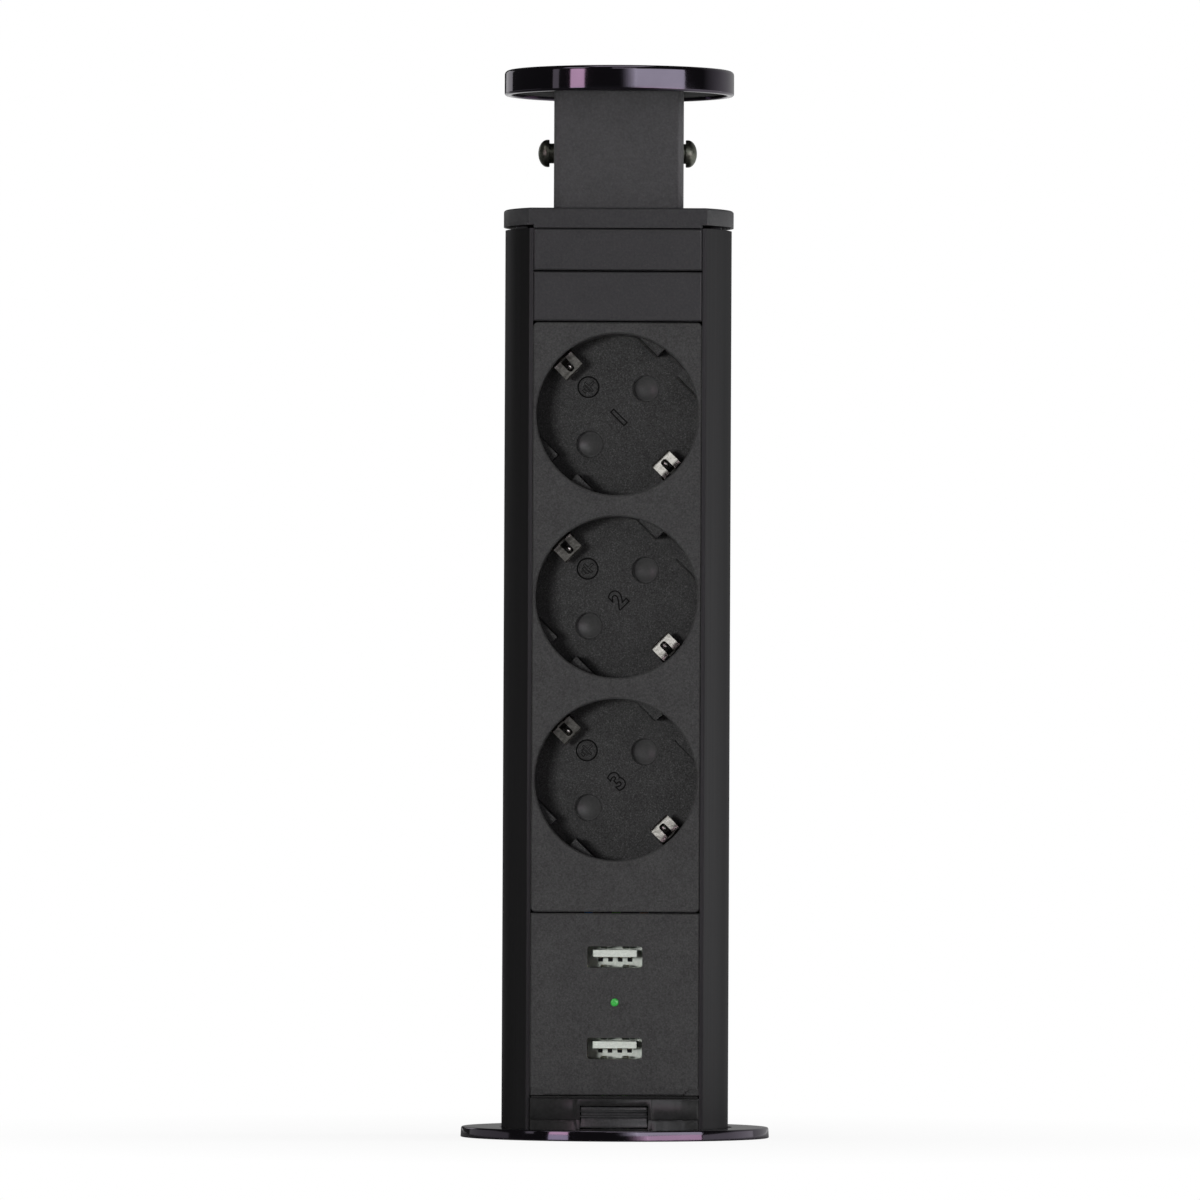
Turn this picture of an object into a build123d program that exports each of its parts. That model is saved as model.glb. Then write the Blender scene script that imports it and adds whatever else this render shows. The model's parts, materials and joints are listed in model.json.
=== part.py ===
from build123d import *
import os
from math import sqrt

# Pop up desk socket: a tower with three earthed round sockets and two charging ports slides up out of a desk.
# Millimetres, Z up, the front faces -Y. The origin is on the desk's surface, in the middle of its hole.

# Desk mount
flange_t = 2.5
flange_round = 0.4
flange_reach = 3.8
bore_gap = 0.7
sleeve_wall = 1.7
sleeve_lip_reach = 3.5
sleeve_lip_t = 1.0
sleeve_end = 4.5
spigot_length = 10.0
thread_pitch = 3.0
thread_depth = 0.8
key_width = 5.0
key_height = 14.0
key_rise = 2.8
key_side_gap = 0.4
key_floor_gap = 0.3
stop_gap = 0.3

# Clamp under the desk
desk_t = 25.0
clamp_gap = 0.3
washer_width = 9.0
washer_t = 2.0
nut_width = 6.0
nut_height = 8.0
nut_rim_t = 2.0
nut_grip_d = 6.0
nut_grips = 16

# Tower casing
front_depth = 17.4
casing_wall = 2.0
casing_seam = 0.1
rail_land = 0.886
panel_t = 1.5
panel_seam = 0.3
panel_side_gap = 0.05
panel_edge = 0.35
socket_face_corner = 1.2
keyway_wall = 1.8

# Heights of what is stacked above the desk
foot_base_height = 2.3
foot_block_height = 5.0
foot_lip_height = 0.5
usb_height = 43.7
blank_lower_height = 12.1
blank_upper_height = 10.3
top_plate_height = 4.8
neck_height = 27.6
lid_height = 6.0

# Top plate, neck and lid
top_plate_proud = 0.3
top_plate_front = 17.6
top_plate_side_gap = 0.7
top_plate_round = 0.6
neck_width = 31.0
neck_depth = 22.0
neck_corner = 1.6
neck_wall = 2.0
lid_gap = 0.45
lid_round = 1.0
lid_lower_round = 0.6
lid_skin = 1.8
lid_rim = 1.6
lid_recess = 0.8
lid_fit = 0.05
pin_d = 4.8
pin_fit = 0.1
pin_head_d = 6.6
pin_head_t = 2.7
pin_head_round = 2.3
pin_play = 0.85
pin_shift = 0.35

# Spigots and screws that hold the casing together
spigot_gap = 0.1
spigot_wall = 2.6
spigot_height = 5.4
spigot_front = 6.0
casing_screw_d = 2.5
casing_screw_head_d = 4.6
casing_screw_head_t = 1.2
casing_screw_length = 4.0
casing_screw_angles = (25.0, 62.0, 118.0, 155.0)
screw_fit = 0.1
neck_screw_d = 3.0
neck_screw_head_d = 5.6
neck_screw_head_t = 2.0
neck_screw_reach = 6.0
neck_screw_spacing = 20.0
neck_boss_d = 6.4

# Socket wells
well_d = 38.6
well_depth = 17.5
well_count = 3
well_side_width = 0.85
well_spacing = 5.0
well_above = 2.8
well_below = 12.4
well_rim = 0.4
cup_wall = 1.5
cup_side_gap = 0.2
floor_t = 2.0
socket_pin_spacing = 19.0
socket_pin_d = 4.8
pin_hole_d = 6.1
pin_dish_d = 6.7
pin_dish_depth = 0.3
land_height = 2.5
land_notch = 6.6
land_setback = 5.0
land_groove_width = 0.35
land_groove_depth = 0.8
clip_width = 5.3
clip_t = 0.6
clip_side_gap = 0.45
clip_inset = 0.4
clip_pocket_outer = 1.1
clip_pocket_inner = 1.3
clip_tip_step = 1.0
clip_nose_step = 4.8
clip_end_step = 2.9
clip_rise = 9.0
clip_tip_rise = 9.8
clip_nose_rise = 7.4
clip_end_rise = 2.0
clip_slot_width = 1.9

# Shutters behind the pin holes
shutter_t = 1.5
shutter_gap = 0.3
shutter_blade = 6.4
shutter_bar_width = 7.4
shutter_travel = 6.3
shutter_dish_r = 5.0
shutter_dish_depth = 0.8
shutter_spring_d = 1.5
shutter_spring_wire = 0.35
shutter_spring_closed = 3.1
shutter_spring_rings = 9
shutter_post_width = 4.0
shutter_post_height = 2.4

# Contacts and their carrier
carrier_skin = 1.0
carrier_side_wall = 1.5
carrier_side_depth = 7.8
carrier_core_wall = 1.35
carrier_rear_gap = 2.4
carrier_end = 4.0
carrier_screw_r = 10.6
carrier_boss_d = 4.4
carrier_screw_d = 2.0
carrier_screw_head_d = 4.2
carrier_screw_head_t = 1.6
carrier_screw_reach = 1.2
bus_strip_width = 6.0
bus_strip_t = 0.8
bus_strip_end = 5.0
leaf_t = 0.6
leaf_height = 7.0
leaf_inset = 0.05
leaf_start = 1.6
bus_side_gap = 0.35
earth_strip_width = 4.6
earth_strip_t = 0.8
earth_channel_gap = 0.3
earth_link_height = 2.0
earth_link_drop = 4.2
earth_tab_width = 5.0
lead_d = 2.2

# Charging ports
usb_mouth_width = 13.05
usb_mouth_height = 5.1
usb_mouth_corner = 0.5
usb_shell_t = 0.4
usb_shell_depth = 13.9
usb_spacing = 21.8
usb_shift = 0.35
usb_tongue_width = 10.4
usb_tongue_t = 1.65
usb_tongue_top = 0.9
usb_tongue_setback = 1.0
usb_block_depth = 3.0
usb_fit = 0.05
usb_contact_width = 1.0
usb_contact_t = 0.3
usb_contact_setback = 0.8
usb_contact_pitch = 2.35
usb_contact_count = 4
usb_corner_width = 3.7
usb_corner_height = 1.8
usb_corner_depth = 1.1
led_d = 1.9
led_fit = 0.05
led_dome = 0.3
led_shift = 0.45
board_t = 1.6
board_side = 3.15
board_end = 2.55
board_post_d = 4.4
board_post_side = 2.5
board_post_end = 3.5
board_screw_d = 2.0
board_screw_head_d = 4.0
board_screw_head_t = 1.5
board_screw_reach = 5.0
transformer_width = 14.0
transformer_height = 13.0
transformer_depth = 10.5
transformer_core_t = 4.0
transformer_core_step = 1.6
capacitor_d = 8.0
capacitor_length = 11.0
capacitor_spacing = 20.0
capacitor_round = 0.6
chip_width = 5.0
chip_height = 4.0
chip_t = 1.5
board_part_rise = 6.5

# Foot, release button and tail
foot_frame_side = 0.9
foot_frame_proud = 0.35
foot_groove_width = 0.3
foot_groove_depth = 0.5
foot_web_t = 1.5
foot_lip_setback = 0.5
foot_lug_width = 6.1
foot_lug_reach = 2.3
foot_lug_t = 1.8
button_width = 15.8
button_height = 5.1
button_gap = 0.2
button_proud = 0.05
button_rib_proud = 0.3
button_rib_height = 0.8
button_rib_rises = (2.95, 4.35)
button_depth = 6.8
button_rise = 0.35
button_ear_width = 1.4
button_ear_depth = 2.4
button_ear_gap = 0.4
button_travel = 3.0
catch_width = 6.0
catch_height = 2.5
catch_drop = 6.8
catch_t = 2.0
catch_gap = 0.4
catch_proud = 0.15
latch_spring_d = 4.0
latch_spring_wire = 0.6
latch_spring_rings = 6
latch_spring_closed = 4.4
latch_post_width = 9.0
latch_post_t = 1.5
tail_cap_t = 5.5
tail_screw_d = 3.0
tail_screw_head_d = 5.6
tail_screw_head_t = 1.6
tail_screw_reach = 8.0
tail_screw_spacing = 20.0
tail_boss_inset = 2.75
tail_boss_d = 6.4
tail_boss_height = 12.0

# Cord gland and terminals
gland_thread_d = 16.0
gland_hex_d = 22.0
gland_hex_t = 5.0
gland_dome_d = 19.0
gland_dome_t = 8.0
gland_dome_round = 2.0
gland_bore_d = 8.5
gland_nut_d = 21.0
gland_nut_t = 4.0
gland_fit = 0.1
terminal_width = 20.0
terminal_depth = 9.0
terminal_height = 12.0
terminal_drop = 10.0
terminal_screw_d = 3.0
terminal_screw_t = 1.0
shelf_t = 2.0
feed_d = 1.6
feed_spacing = 5.0
feed_inset = 2.25
feed_top = 20.0
feed_bend = 9.0
feed_bend_r = 3.0

# One overrun for every cut that goes right through
overrun = 1.0

quarter_turn = 90
hex_sides = 6

# Heights and depths that follow from these
well_r = well_d / 2
panel_width = well_d + 2 * well_side_width
tower_r = sqrt(front_depth**2 + (panel_width / 2 + rail_land) ** 2)
inner_r = tower_r - casing_wall
bore_r = tower_r + bore_gap
sleeve_r = bore_r + sleeve_wall
sleeve_lip_r = sleeve_r + sleeve_lip_reach
flange_r = sleeve_lip_r + flange_reach
clamp_r = sleeve_r + clamp_gap
washer_r = clamp_r + washer_width
nut_r = clamp_r + nut_width
lid_r = bore_r - lid_gap
top_plate_r = tower_r + top_plate_proud
well_pitch = well_d + well_spacing
socket_height = well_above + well_count * well_pitch - well_spacing + well_below
base_top = flange_t + foot_base_height
foot_top = base_top + foot_block_height
usb_bottom = foot_top + foot_lip_height
usb_top = usb_bottom + usb_height
socket_top = usb_top + socket_height
blank_split = socket_top + blank_lower_height
casing_top = blank_split + blank_upper_height
plate_top = casing_top + top_plate_height
lid_bottom = plate_top + neck_height
lid_top = lid_bottom + lid_height
travel = lid_top - flange_t
plate_side = casing_top + top_plate_side_gap
key_top = plate_side - travel - stop_gap
key_bottom = key_top - key_height
sleeve_bottom = key_bottom - sleeve_end
tail_top = key_bottom - stop_gap
tail_bottom = tail_top - tail_cap_t
panel_back = panel_t - front_depth
floor_front = well_depth - front_depth
cup_back = floor_front + floor_t
carrier_front = cup_back + shutter_t + 2 * shutter_gap
channel_floor = carrier_front + carrier_skin
pin_offset = socket_pin_spacing / 2 / sqrt(2)
channel_width = socket_pin_d + 2 * (leaf_t - leaf_inset) + 2 * bus_side_gap
carrier_core_width = 2 * (pin_offset + channel_width / 2 + carrier_core_wall)
carrier_back = sqrt(inner_r**2 - (carrier_core_width / 2) ** 2) - carrier_rear_gap
bus_front = carrier_back - bus_strip_t - casing_seam
clip_r = well_r - clip_inset
clip_offset = clip_r / sqrt(2)
earth_front = channel_floor + casing_seam
shutter_spring_length = shutter_travel + shutter_spring_closed
well_heights = [socket_top - well_above - well_r - n * well_pitch for n in range(well_count)]
carrier_margin = clip_offset + clip_width / 2 + carrier_end
earth_link_top = well_heights[-1] - carrier_margin - earth_link_drop + earth_link_height
board_front = panel_back + usb_shell_depth
board_width = panel_width - 2 * board_side
board_height = usb_height - 2 * board_end
board_post_spacing = board_width - 2 * board_post_side
board_post_rise = board_height - 2 * board_post_end
usb_middle = (usb_bottom + usb_top) / 2
usb_heights = [usb_middle + usb_shift + s * usb_spacing / 2 for s in (1, -1)]
led_height = usb_middle + led_shift
lead_y = bus_front + bus_strip_t / 2
terminal_top = -terminal_drop
terminal_y = lead_y + lead_d - terminal_depth / 2
casing_screw_heights = (tail_top + spigot_height / 2, casing_top - spigot_height / 2)
tail_screw_front = sqrt((inner_r - tail_boss_inset) ** 2 - (tail_screw_spacing / 2) ** 2)
tail_screw_places = [(s * tail_screw_spacing / 2, -tail_screw_front) for s in (1, -1)]
foot_frame_width = button_width + 2 * (button_gap + foot_frame_side)
side_x = {"left": -1, "right": 1}


def front_plane(y, z=0):
    """Plane across the tower at depth y, with its middle at height z and its normal to the front."""
    return Plane(origin=(0, y, z), x_dir=(1, 0, 0), z_dir=(0, -1, 0))


def well_plane(y, z):
    """Plane across a well at depth y, turned 45 degrees so that its x axis runs through both pin holes."""
    return Plane(origin=(0, y, z), x_dir=(1, 0, 1), z_dir=(0, -1, 0))


def keep(piece, name):
    """Name a finished piece and write it."""
    piece.part.label = name
    export_step(piece.part, f"parts/{name}.step")


def make_rail(side):
    """One round side of the casing: an arc of wall with a channel down its middle that runs on the key."""
    keyway_r = bore_r - key_rise - key_floor_gap
    keyway_width = key_width + 2 * key_side_gap
    channel_width = keyway_width + 2 * casing_wall
    height = casing_top - tail_top - 2 * casing_seam
    with BuildPart() as rail:
        with BuildSketch(Plane.XY.offset(tail_top + casing_seam)):
            Circle(tower_r)
            Circle(inner_r, mode=Mode.SUBTRACT)
            with Locations((side * tower_r, 0)):
                Rectangle(2 * (tower_r - keyway_r + keyway_wall), channel_width)
            Circle(tower_r, mode=Mode.INTERSECT)
            with Locations((side * tower_r, 0)):
                Rectangle(2 * (tower_r - keyway_r), keyway_width, mode=Mode.SUBTRACT)
                Rectangle(2 * tower_r, 2 * front_depth - 2 * casing_seam, mode=Mode.INTERSECT)
            with Locations((0, -tower_r)):
                Rectangle(panel_width + 2 * panel_side_gap, 2 * tower_r, mode=Mode.SUBTRACT)
        extrude(amount=height)
        for angle in casing_screw_angles:
            if abs(angle - (quarter_turn - side * quarter_turn)) < quarter_turn / 2:
                for z in casing_screw_heights:
                    with Locations(casing_screw_location(angle, z)):
                        CounterBoreHole(
                            casing_screw_d / 2 + screw_fit,
                            casing_screw_head_d / 2 + screw_fit,
                            casing_screw_head_t,
                        )
    return rail


def casing_screw_location(angle, z):
    """Where a screw enters the casing: on the tower's surface, pointing out."""
    return Rot(0, 0, angle) * Pos(tower_r, 0, z) * Rot(0, quarter_turn, 0)


def make_panel(low, high):
    """Plain plate between the rails, with softened front edges."""
    with BuildPart() as panel:
        with BuildSketch(front_plane(panel_back, (low + high) / 2)):
            Rectangle(panel_width, high - low - panel_seam)
        extrude(amount=panel_t)
        chamfer(panel.faces().sort_by(Axis.Y)[0].edges(), panel_edge)
    return panel


def make_well(z):
    """Moulded cup of one socket: round well, guide lands, clip pockets and pin holes in its floor."""
    cup_r = well_r + cup_wall
    with BuildPart() as well:
        with BuildSketch(front_plane(cup_back, z)):
            Circle(cup_r)
            Rectangle(panel_width - 2 * cup_side_gap, 2 * cup_r, mode=Mode.INTERSECT)
        extrude(amount=cup_back - panel_back)
        with BuildSketch(well_plane(floor_front, z)):
            Rectangle(2 * (well_r - land_height), 2 * well_r)
            Rectangle(2 * well_r, land_notch)
            Circle(well_r, mode=Mode.INTERSECT)
        extrude(amount=well_depth, mode=Mode.SUBTRACT)
        with BuildSketch(front_plane(panel_back + land_setback, z)):
            Circle(well_r)
        extrude(amount=land_setback + overrun, mode=Mode.SUBTRACT)
        with BuildSketch(well_plane(floor_front, z)):
            with Locations(*[(s * (well_r - land_height - land_groove_width / 2), 0) for s in (1, -1)]):
                Rectangle(land_groove_width, 2 * well_r)
            Rectangle(2 * well_r, land_notch, mode=Mode.SUBTRACT)
            Circle(well_r, mode=Mode.INTERSECT)
        extrude(amount=-land_groove_depth, mode=Mode.SUBTRACT)
        with BuildSketch(well_plane(cup_back + overrun, z)):
            pocket_y = clip_r + (clip_pocket_outer - clip_pocket_inner) / 2
            with Locations(*[(0, s * pocket_y) for s in (1, -1)]):
                Rectangle(clip_width + 2 * clip_side_gap, clip_pocket_outer + clip_pocket_inner)
        extrude(amount=cup_back - panel_back + 2 * overrun, mode=Mode.SUBTRACT)
        with BuildSketch(well_plane(cup_back + overrun, z)):
            with Locations(*[(s * socket_pin_spacing / 2, 0) for s in (1, -1)]):
                Circle(pin_hole_d / 2)
        extrude(amount=floor_t + 2 * overrun, mode=Mode.SUBTRACT)
        floor = well_plane(floor_front, z).location
        dishes = [floor * Pos(s * socket_pin_spacing / 2, 0, -pin_dish_depth / 2) for s in (1, -1)]
        with Locations(*dishes):
            Cone(pin_hole_d / 2, pin_dish_d / 2, pin_dish_depth, mode=Mode.SUBTRACT)
        with BuildSketch(well_plane(carrier_front, z)):
            with Locations(*[(0, s * carrier_screw_r) for s in (1, -1)]):
                Circle(carrier_boss_d / 2)
        extrude(amount=carrier_front - cup_back)
        with BuildSketch(well_plane(carrier_front, z)):
            with Locations(*[(0, s * carrier_screw_r) for s in (1, -1)]):
                Circle(carrier_screw_d / 2 + screw_fit)
        extrude(amount=carrier_front - floor_front - carrier_screw_reach, mode=Mode.SUBTRACT)
    return well


def make_shutter(z):
    """Sliding plate with one blade behind each pin hole, dished where the pin meets it."""
    with BuildPart() as shutter:
        with BuildSketch(front_plane(carrier_front - shutter_gap, z)):
            with Locations((pin_offset, pin_offset), (-pin_offset, -pin_offset)):
                Rectangle(shutter_blade, shutter_blade)
            Rectangle(shutter_bar_width, 2 * pin_offset + shutter_blade)
        extrude(amount=shutter_t)
        dish_y = cup_back + shutter_gap + shutter_dish_depth - shutter_dish_r
        with Locations(*[(s * pin_offset, dish_y, z + s * pin_offset) for s in (1, -1)]):
            Sphere(shutter_dish_r, mode=Mode.SUBTRACT)
    return shutter


def make_coil(location, diameter, wire, length, rings):
    """Closed coil spring as a ribbed sleeve, from the location's origin along its Z axis."""
    outer = diameter / 2
    step = length / rings
    with BuildPart() as coil:
        with BuildSketch(Plane.XZ):
            with BuildLine():
                points = [(outer - wire, 0)]
                for n in range(rings):
                    points += [(outer - wire / 2, n * step), (outer, (n + 1 / 2) * step)]
                points += [(outer - wire / 2, length), (outer - wire, length)]
                Polyline(*points, close=True)
            make_face()
        revolve(axis=Axis.Z)
        coil.part.location = location
    return coil


def make_bus(side):
    """Bus bar with a pair of contact leaves for each well's pin on this side."""
    x = side * pin_offset
    heights = [z + side * pin_offset for z in well_heights]
    low = heights[-1] - leaf_height / 2 - bus_strip_end
    high = heights[0] + leaf_height / 2 + bus_strip_end
    leaf_depth = bus_front - channel_floor - leaf_start
    leaf_x = socket_pin_d / 2 - leaf_inset + leaf_t / 2
    with BuildPart() as bus:
        with Locations((x, bus_front + bus_strip_t / 2, (low + high) / 2)):
            Box(bus_strip_width, bus_strip_t, high - low)
        leaf_y = bus_front - leaf_depth / 2
        with Locations(*[(x + s * leaf_x, leaf_y, z) for s in (1, -1) for z in heights]):
            Box(leaf_t, leaf_depth, leaf_height)
    return bus, low


def make_usb_shell(z):
    """Folded metal shell of one port, open to the front."""
    with BuildPart() as shell:
        with BuildSketch(front_plane(board_front, z)):
            RectangleRounded(
                usb_mouth_width + 2 * usb_shell_t,
                usb_mouth_height + 2 * usb_shell_t,
                usb_mouth_corner + usb_shell_t,
            )
            RectangleRounded(usb_mouth_width, usb_mouth_height, usb_mouth_corner, mode=Mode.SUBTRACT)
        extrude(amount=usb_shell_depth)
    return shell


def make_usb_tongue(z):
    """Insulating tongue of one port on the block that closes the back of its shell."""
    with BuildPart() as tongue:
        with BuildSketch(front_plane(board_front, z)):
            RectangleRounded(
                usb_mouth_width - 2 * usb_fit, usb_mouth_height - 2 * usb_fit, usb_mouth_corner
            )
        extrude(amount=usb_block_depth)
        with BuildSketch(front_plane(board_front - usb_block_depth, z)):
            with Locations((0, usb_mouth_height / 2 - usb_tongue_top - usb_tongue_t / 2)):
                Rectangle(usb_tongue_width, usb_tongue_t)
        extrude(amount=usb_shell_depth - usb_block_depth - usb_tongue_setback)
    return tongue


def make_usb_contacts(z):
    """Four flat contacts under one port's tongue."""
    under = z + usb_mouth_height / 2 - usb_tongue_top - usb_tongue_t
    front = panel_back + usb_tongue_setback + usb_contact_setback
    back = board_front - usb_block_depth
    with BuildPart() as contacts:
        with Locations((0, (front + back) / 2, under - usb_contact_t / 2)):
            with GridLocations(usb_contact_pitch, 0, usb_contact_count, 1):
                Box(usb_contact_width, back - front, usb_contact_t)
    return contacts


def make_spigot(low, high):
    """Part ring inside the casing, open at the front and cleared for the rails' channels."""
    with BuildPart() as spigot:
        with BuildSketch(Plane.XY.offset(low)):
            Circle(inner_r - spigot_gap)
            Circle(inner_r - spigot_gap - spigot_wall, mode=Mode.SUBTRACT)
            with Locations((0, tower_r - spigot_front)):
                Rectangle(2 * tower_r, 2 * tower_r, mode=Mode.INTERSECT)
            for side in side_x.values():
                with Locations((side * tower_r, 0)):
                    Rectangle(
                        2 * (tower_r - bore_r + key_rise + key_floor_gap + keyway_wall + spigot_gap),
                        key_width + 2 * (key_side_gap + casing_wall + spigot_gap),
                        mode=Mode.SUBTRACT,
                    )
        extrude(amount=high - low)
    return spigot


def make_foot_shell(low, high):
    """Round front wall between the rails' lower ends, with a lug behind each rail."""
    lug_r = inner_r - spigot_gap
    half_width = panel_width / 2 - panel_side_gap
    with BuildPart() as shell:
        with BuildSketch(Plane.XY.offset(low)):
            Circle(tower_r)
            Circle(inner_r, mode=Mode.SUBTRACT)
            with Locations((0, -tower_r)):
                Rectangle(2 * half_width, 2 * tower_r, mode=Mode.INTERSECT)
        extrude(amount=high - low)
        for outer, end in ((inner_r + casing_wall / 2, half_width), (lug_r, half_width + foot_lug_reach)):
            with BuildSketch(Plane.XY.offset(low)):
                Circle(outer)
                Circle(lug_r - foot_lug_t, mode=Mode.SUBTRACT)
                with Locations((0, -tower_r)):
                    Rectangle(2 * end, 2 * tower_r, mode=Mode.INTERSECT)
                    Rectangle(2 * (half_width - foot_lug_width), 2 * tower_r, mode=Mode.SUBTRACT)
            extrude(amount=high - low)
        with BuildSketch(Plane.XY.offset(max(low, flange_t))):
            Circle(tower_r + foot_frame_proud)
            with Locations((0, -tower_r)):
                Rectangle(foot_frame_width, tower_r, mode=Mode.INTERSECT)
            Circle(inner_r, mode=Mode.SUBTRACT)
        extrude(amount=high - max(low, flange_t))
    return shell


os.makedirs("parts", exist_ok=True)

# Trim ring on the desk
with BuildPart() as flange_ring:
    with BuildSketch(Plane.XZ) as ring_profile:
        with BuildLine():
            Polyline(
                (bore_r, sleeve_lip_t),
                (sleeve_lip_r, sleeve_lip_t),
                (sleeve_lip_r, 0),
                (flange_r, 0),
                (flange_r, flange_t),
                (bore_r, flange_t),
                close=True,
            )
        make_face()
        fillet(ring_profile.vertices().group_by(Axis.X)[-1].sort_by(Axis.Y)[-1], flange_round)
    revolve(axis=Axis.Z)
keep(flange_ring, "flange_ring")

# Threaded sleeve in the desk's hole, with two keys that stop the tower from turning
thread_turns = int((-sleeve_bottom - spigot_length) / thread_pitch)
with BuildPart() as mount_sleeve:
    with BuildSketch(Plane.XZ):
        with BuildLine():
            profile = [(bore_r, sleeve_lip_t), (sleeve_lip_r, sleeve_lip_t), (sleeve_lip_r, 0)]
            profile += [(sleeve_r, 0)]
            for turn in range(thread_turns):
                crest = -spigot_length - turn * thread_pitch
                profile += [(sleeve_r, crest), (sleeve_r - thread_depth, crest - thread_pitch / 2)]
            profile += [(sleeve_r, -spigot_length - thread_turns * thread_pitch)]
            profile += [(sleeve_r, sleeve_bottom), (bore_r, sleeve_bottom)]
            Polyline(*profile, close=True)
        make_face()
    revolve(axis=Axis.Z)
    key_depth = key_rise + (sleeve_r - thread_depth - bore_r) / 2
    key_x = bore_r - key_rise + key_depth / 2
    with Locations(*[(side * key_x, 0, (key_top + key_bottom) / 2) for side in side_x.values()]):
        Box(key_depth, key_width, key_height)
keep(mount_sleeve, "mount_sleeve")

# Washer and nut that clamp the sleeve to the desk
with BuildPart() as clamp_washer:
    with BuildSketch(Plane.XY.offset(-desk_t - washer_t)):
        Circle(washer_r)
        Circle(clamp_r, mode=Mode.SUBTRACT)
    extrude(amount=washer_t)
keep(clamp_washer, "clamp_washer")

nut_top = -desk_t - washer_t - clamp_gap
with BuildPart() as clamp_nut:
    with BuildSketch(Plane.XY.offset(nut_top - nut_height)):
        Circle(nut_r)
        with PolarLocations(nut_r, nut_grips):
            Circle(nut_grip_d / 2, mode=Mode.SUBTRACT)
    extrude(amount=nut_height)
    with BuildSketch(Plane.XY.offset(nut_top - nut_rim_t)):
        Circle(nut_r)
    extrude(amount=nut_rim_t)
    with BuildSketch(Plane.XY.offset(nut_top - nut_height - overrun)):
        Circle(clamp_r)
    extrude(amount=nut_height + 2 * overrun, mode=Mode.SUBTRACT)
keep(clamp_nut, "clamp_nut")

# Casing: two rails and a rear cover
for side_name, side in side_x.items():
    keep(make_rail(side), f"side_rail_{side_name}")

with BuildPart() as rear_cover:
    with BuildSketch(Plane.XY.offset(tail_top + casing_seam)):
        Circle(tower_r)
        Circle(inner_r, mode=Mode.SUBTRACT)
        with Locations((0, front_depth + tower_r)):
            Rectangle(2 * tower_r, 2 * tower_r, mode=Mode.INTERSECT)
    extrude(amount=casing_top - tail_top - 2 * casing_seam)
    with BuildSketch(Plane.XY.offset(terminal_top - terminal_height - shelf_t)):
        Circle(inner_r + casing_wall / 2)
        with Locations((0, terminal_y - terminal_depth / 2 + tower_r)):
            Rectangle(terminal_width, 2 * tower_r, mode=Mode.INTERSECT)
    extrude(amount=shelf_t)
    for angle in casing_screw_angles:
        if abs(angle - quarter_turn) < quarter_turn / 2:
            for z in casing_screw_heights:
                with Locations(casing_screw_location(angle, z)):
                    CounterBoreHole(
                        casing_screw_d / 2 + screw_fit,
                        casing_screw_head_d / 2 + screw_fit,
                        casing_screw_head_t,
                    )
keep(rear_cover, "rear_cover")

# Plain covers above the sockets
keep(make_panel(blank_split, casing_top), "blank_cover_upper")
keep(make_panel(socket_top, blank_split), "blank_cover_lower")

# Face plate of the three sockets
with BuildPart() as socket_face:
    with BuildSketch(front_plane(panel_back, (usb_top + socket_top) / 2)):
        RectangleRounded(panel_width, socket_height - panel_seam, socket_face_corner)
    extrude(amount=panel_t)
    chamfer(socket_face.faces().sort_by(Axis.Y)[0].edges(), panel_edge)
    with BuildSketch(front_plane(panel_back + overrun)):
        with Locations(*[(0, z) for z in well_heights]):
            Circle(well_r)
    extrude(amount=panel_t + 2 * overrun, mode=Mode.SUBTRACT)
    rims = socket_face.edges().filter_by(GeomType.CIRCLE).filter_by(lambda e: e.radius > well_r / 2)
    chamfer(rims.group_by(Axis.Y)[0], well_rim)
keep(socket_face, "socket_face")

# Wells with their shutters and springs
for number, z in enumerate(well_heights, 1):
    keep(make_well(z), f"socket_well_{number}")
    keep(make_shutter(z), f"shutter_{number}")
    spring_top = z - pin_offset - shutter_blade / 2
    spring_y = (cup_back + carrier_front) / 2
    spring_place = Pos(0, spring_y, spring_top - shutter_spring_length)
    spring_sizes = (shutter_spring_d, shutter_spring_wire, shutter_spring_length, shutter_spring_rings)
    keep(make_coil(spring_place, *spring_sizes), f"shutter_spring_{number}")

# Earth clips: bent strips that stand up through the wells' pockets
with BuildPart() as earth_clips:
    for z in well_heights:
        for side in (1, -1):
            clip_plane = Plane(origin=(0, 0, z), x_dir=(-side, 0, side), z_dir=(side, 0, side))
            with BuildSketch(clip_plane):
                with BuildLine():
                    Polyline(
                        (clip_r, -earth_front + clip_t / 2),
                        (clip_r, clip_rise),
                        (clip_r - clip_tip_step, clip_tip_rise),
                        (clip_r - clip_nose_step, clip_nose_rise),
                        (clip_r - clip_end_step, clip_end_rise),
                    )
                trace(line_width=clip_t)
            extrude(amount=clip_width / 2, both=True)
            slot_x = clip_r - (clip_tip_step + clip_end_step) / 2
            with BuildSketch(clip_plane):
                with Locations((slot_x, clip_tip_rise)):
                    Rectangle(clip_end_step - clip_tip_step, clip_tip_rise - clip_nose_rise)
            extrude(amount=clip_slot_width / 2, both=True, mode=Mode.SUBTRACT)
keep(earth_clips, "earth_clips")

# Earth bar: two strips behind the clips, joined below the carrier
earth_low = earth_link_top - earth_link_height
earth_high = well_heights[0] + clip_offset + clip_width / 2
with BuildPart() as earth_bar:
    strip_y = earth_front + earth_strip_t / 2
    with Locations(*[(s * clip_offset, strip_y, (earth_low + earth_high) / 2) for s in (1, -1)]):
        Box(earth_strip_width, earth_strip_t, earth_high - earth_low)
    with Locations((0, strip_y, earth_link_top - earth_link_height / 2)):
        Box(2 * clip_offset, earth_strip_t, earth_link_height)
    tab_depth = carrier_back - earth_front
    with Locations((0, earth_front + tab_depth / 2, earth_low + earth_strip_t / 2)):
        Box(earth_tab_width, tab_depth, earth_strip_t)
keep(earth_bar, "earth_bar")

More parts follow.
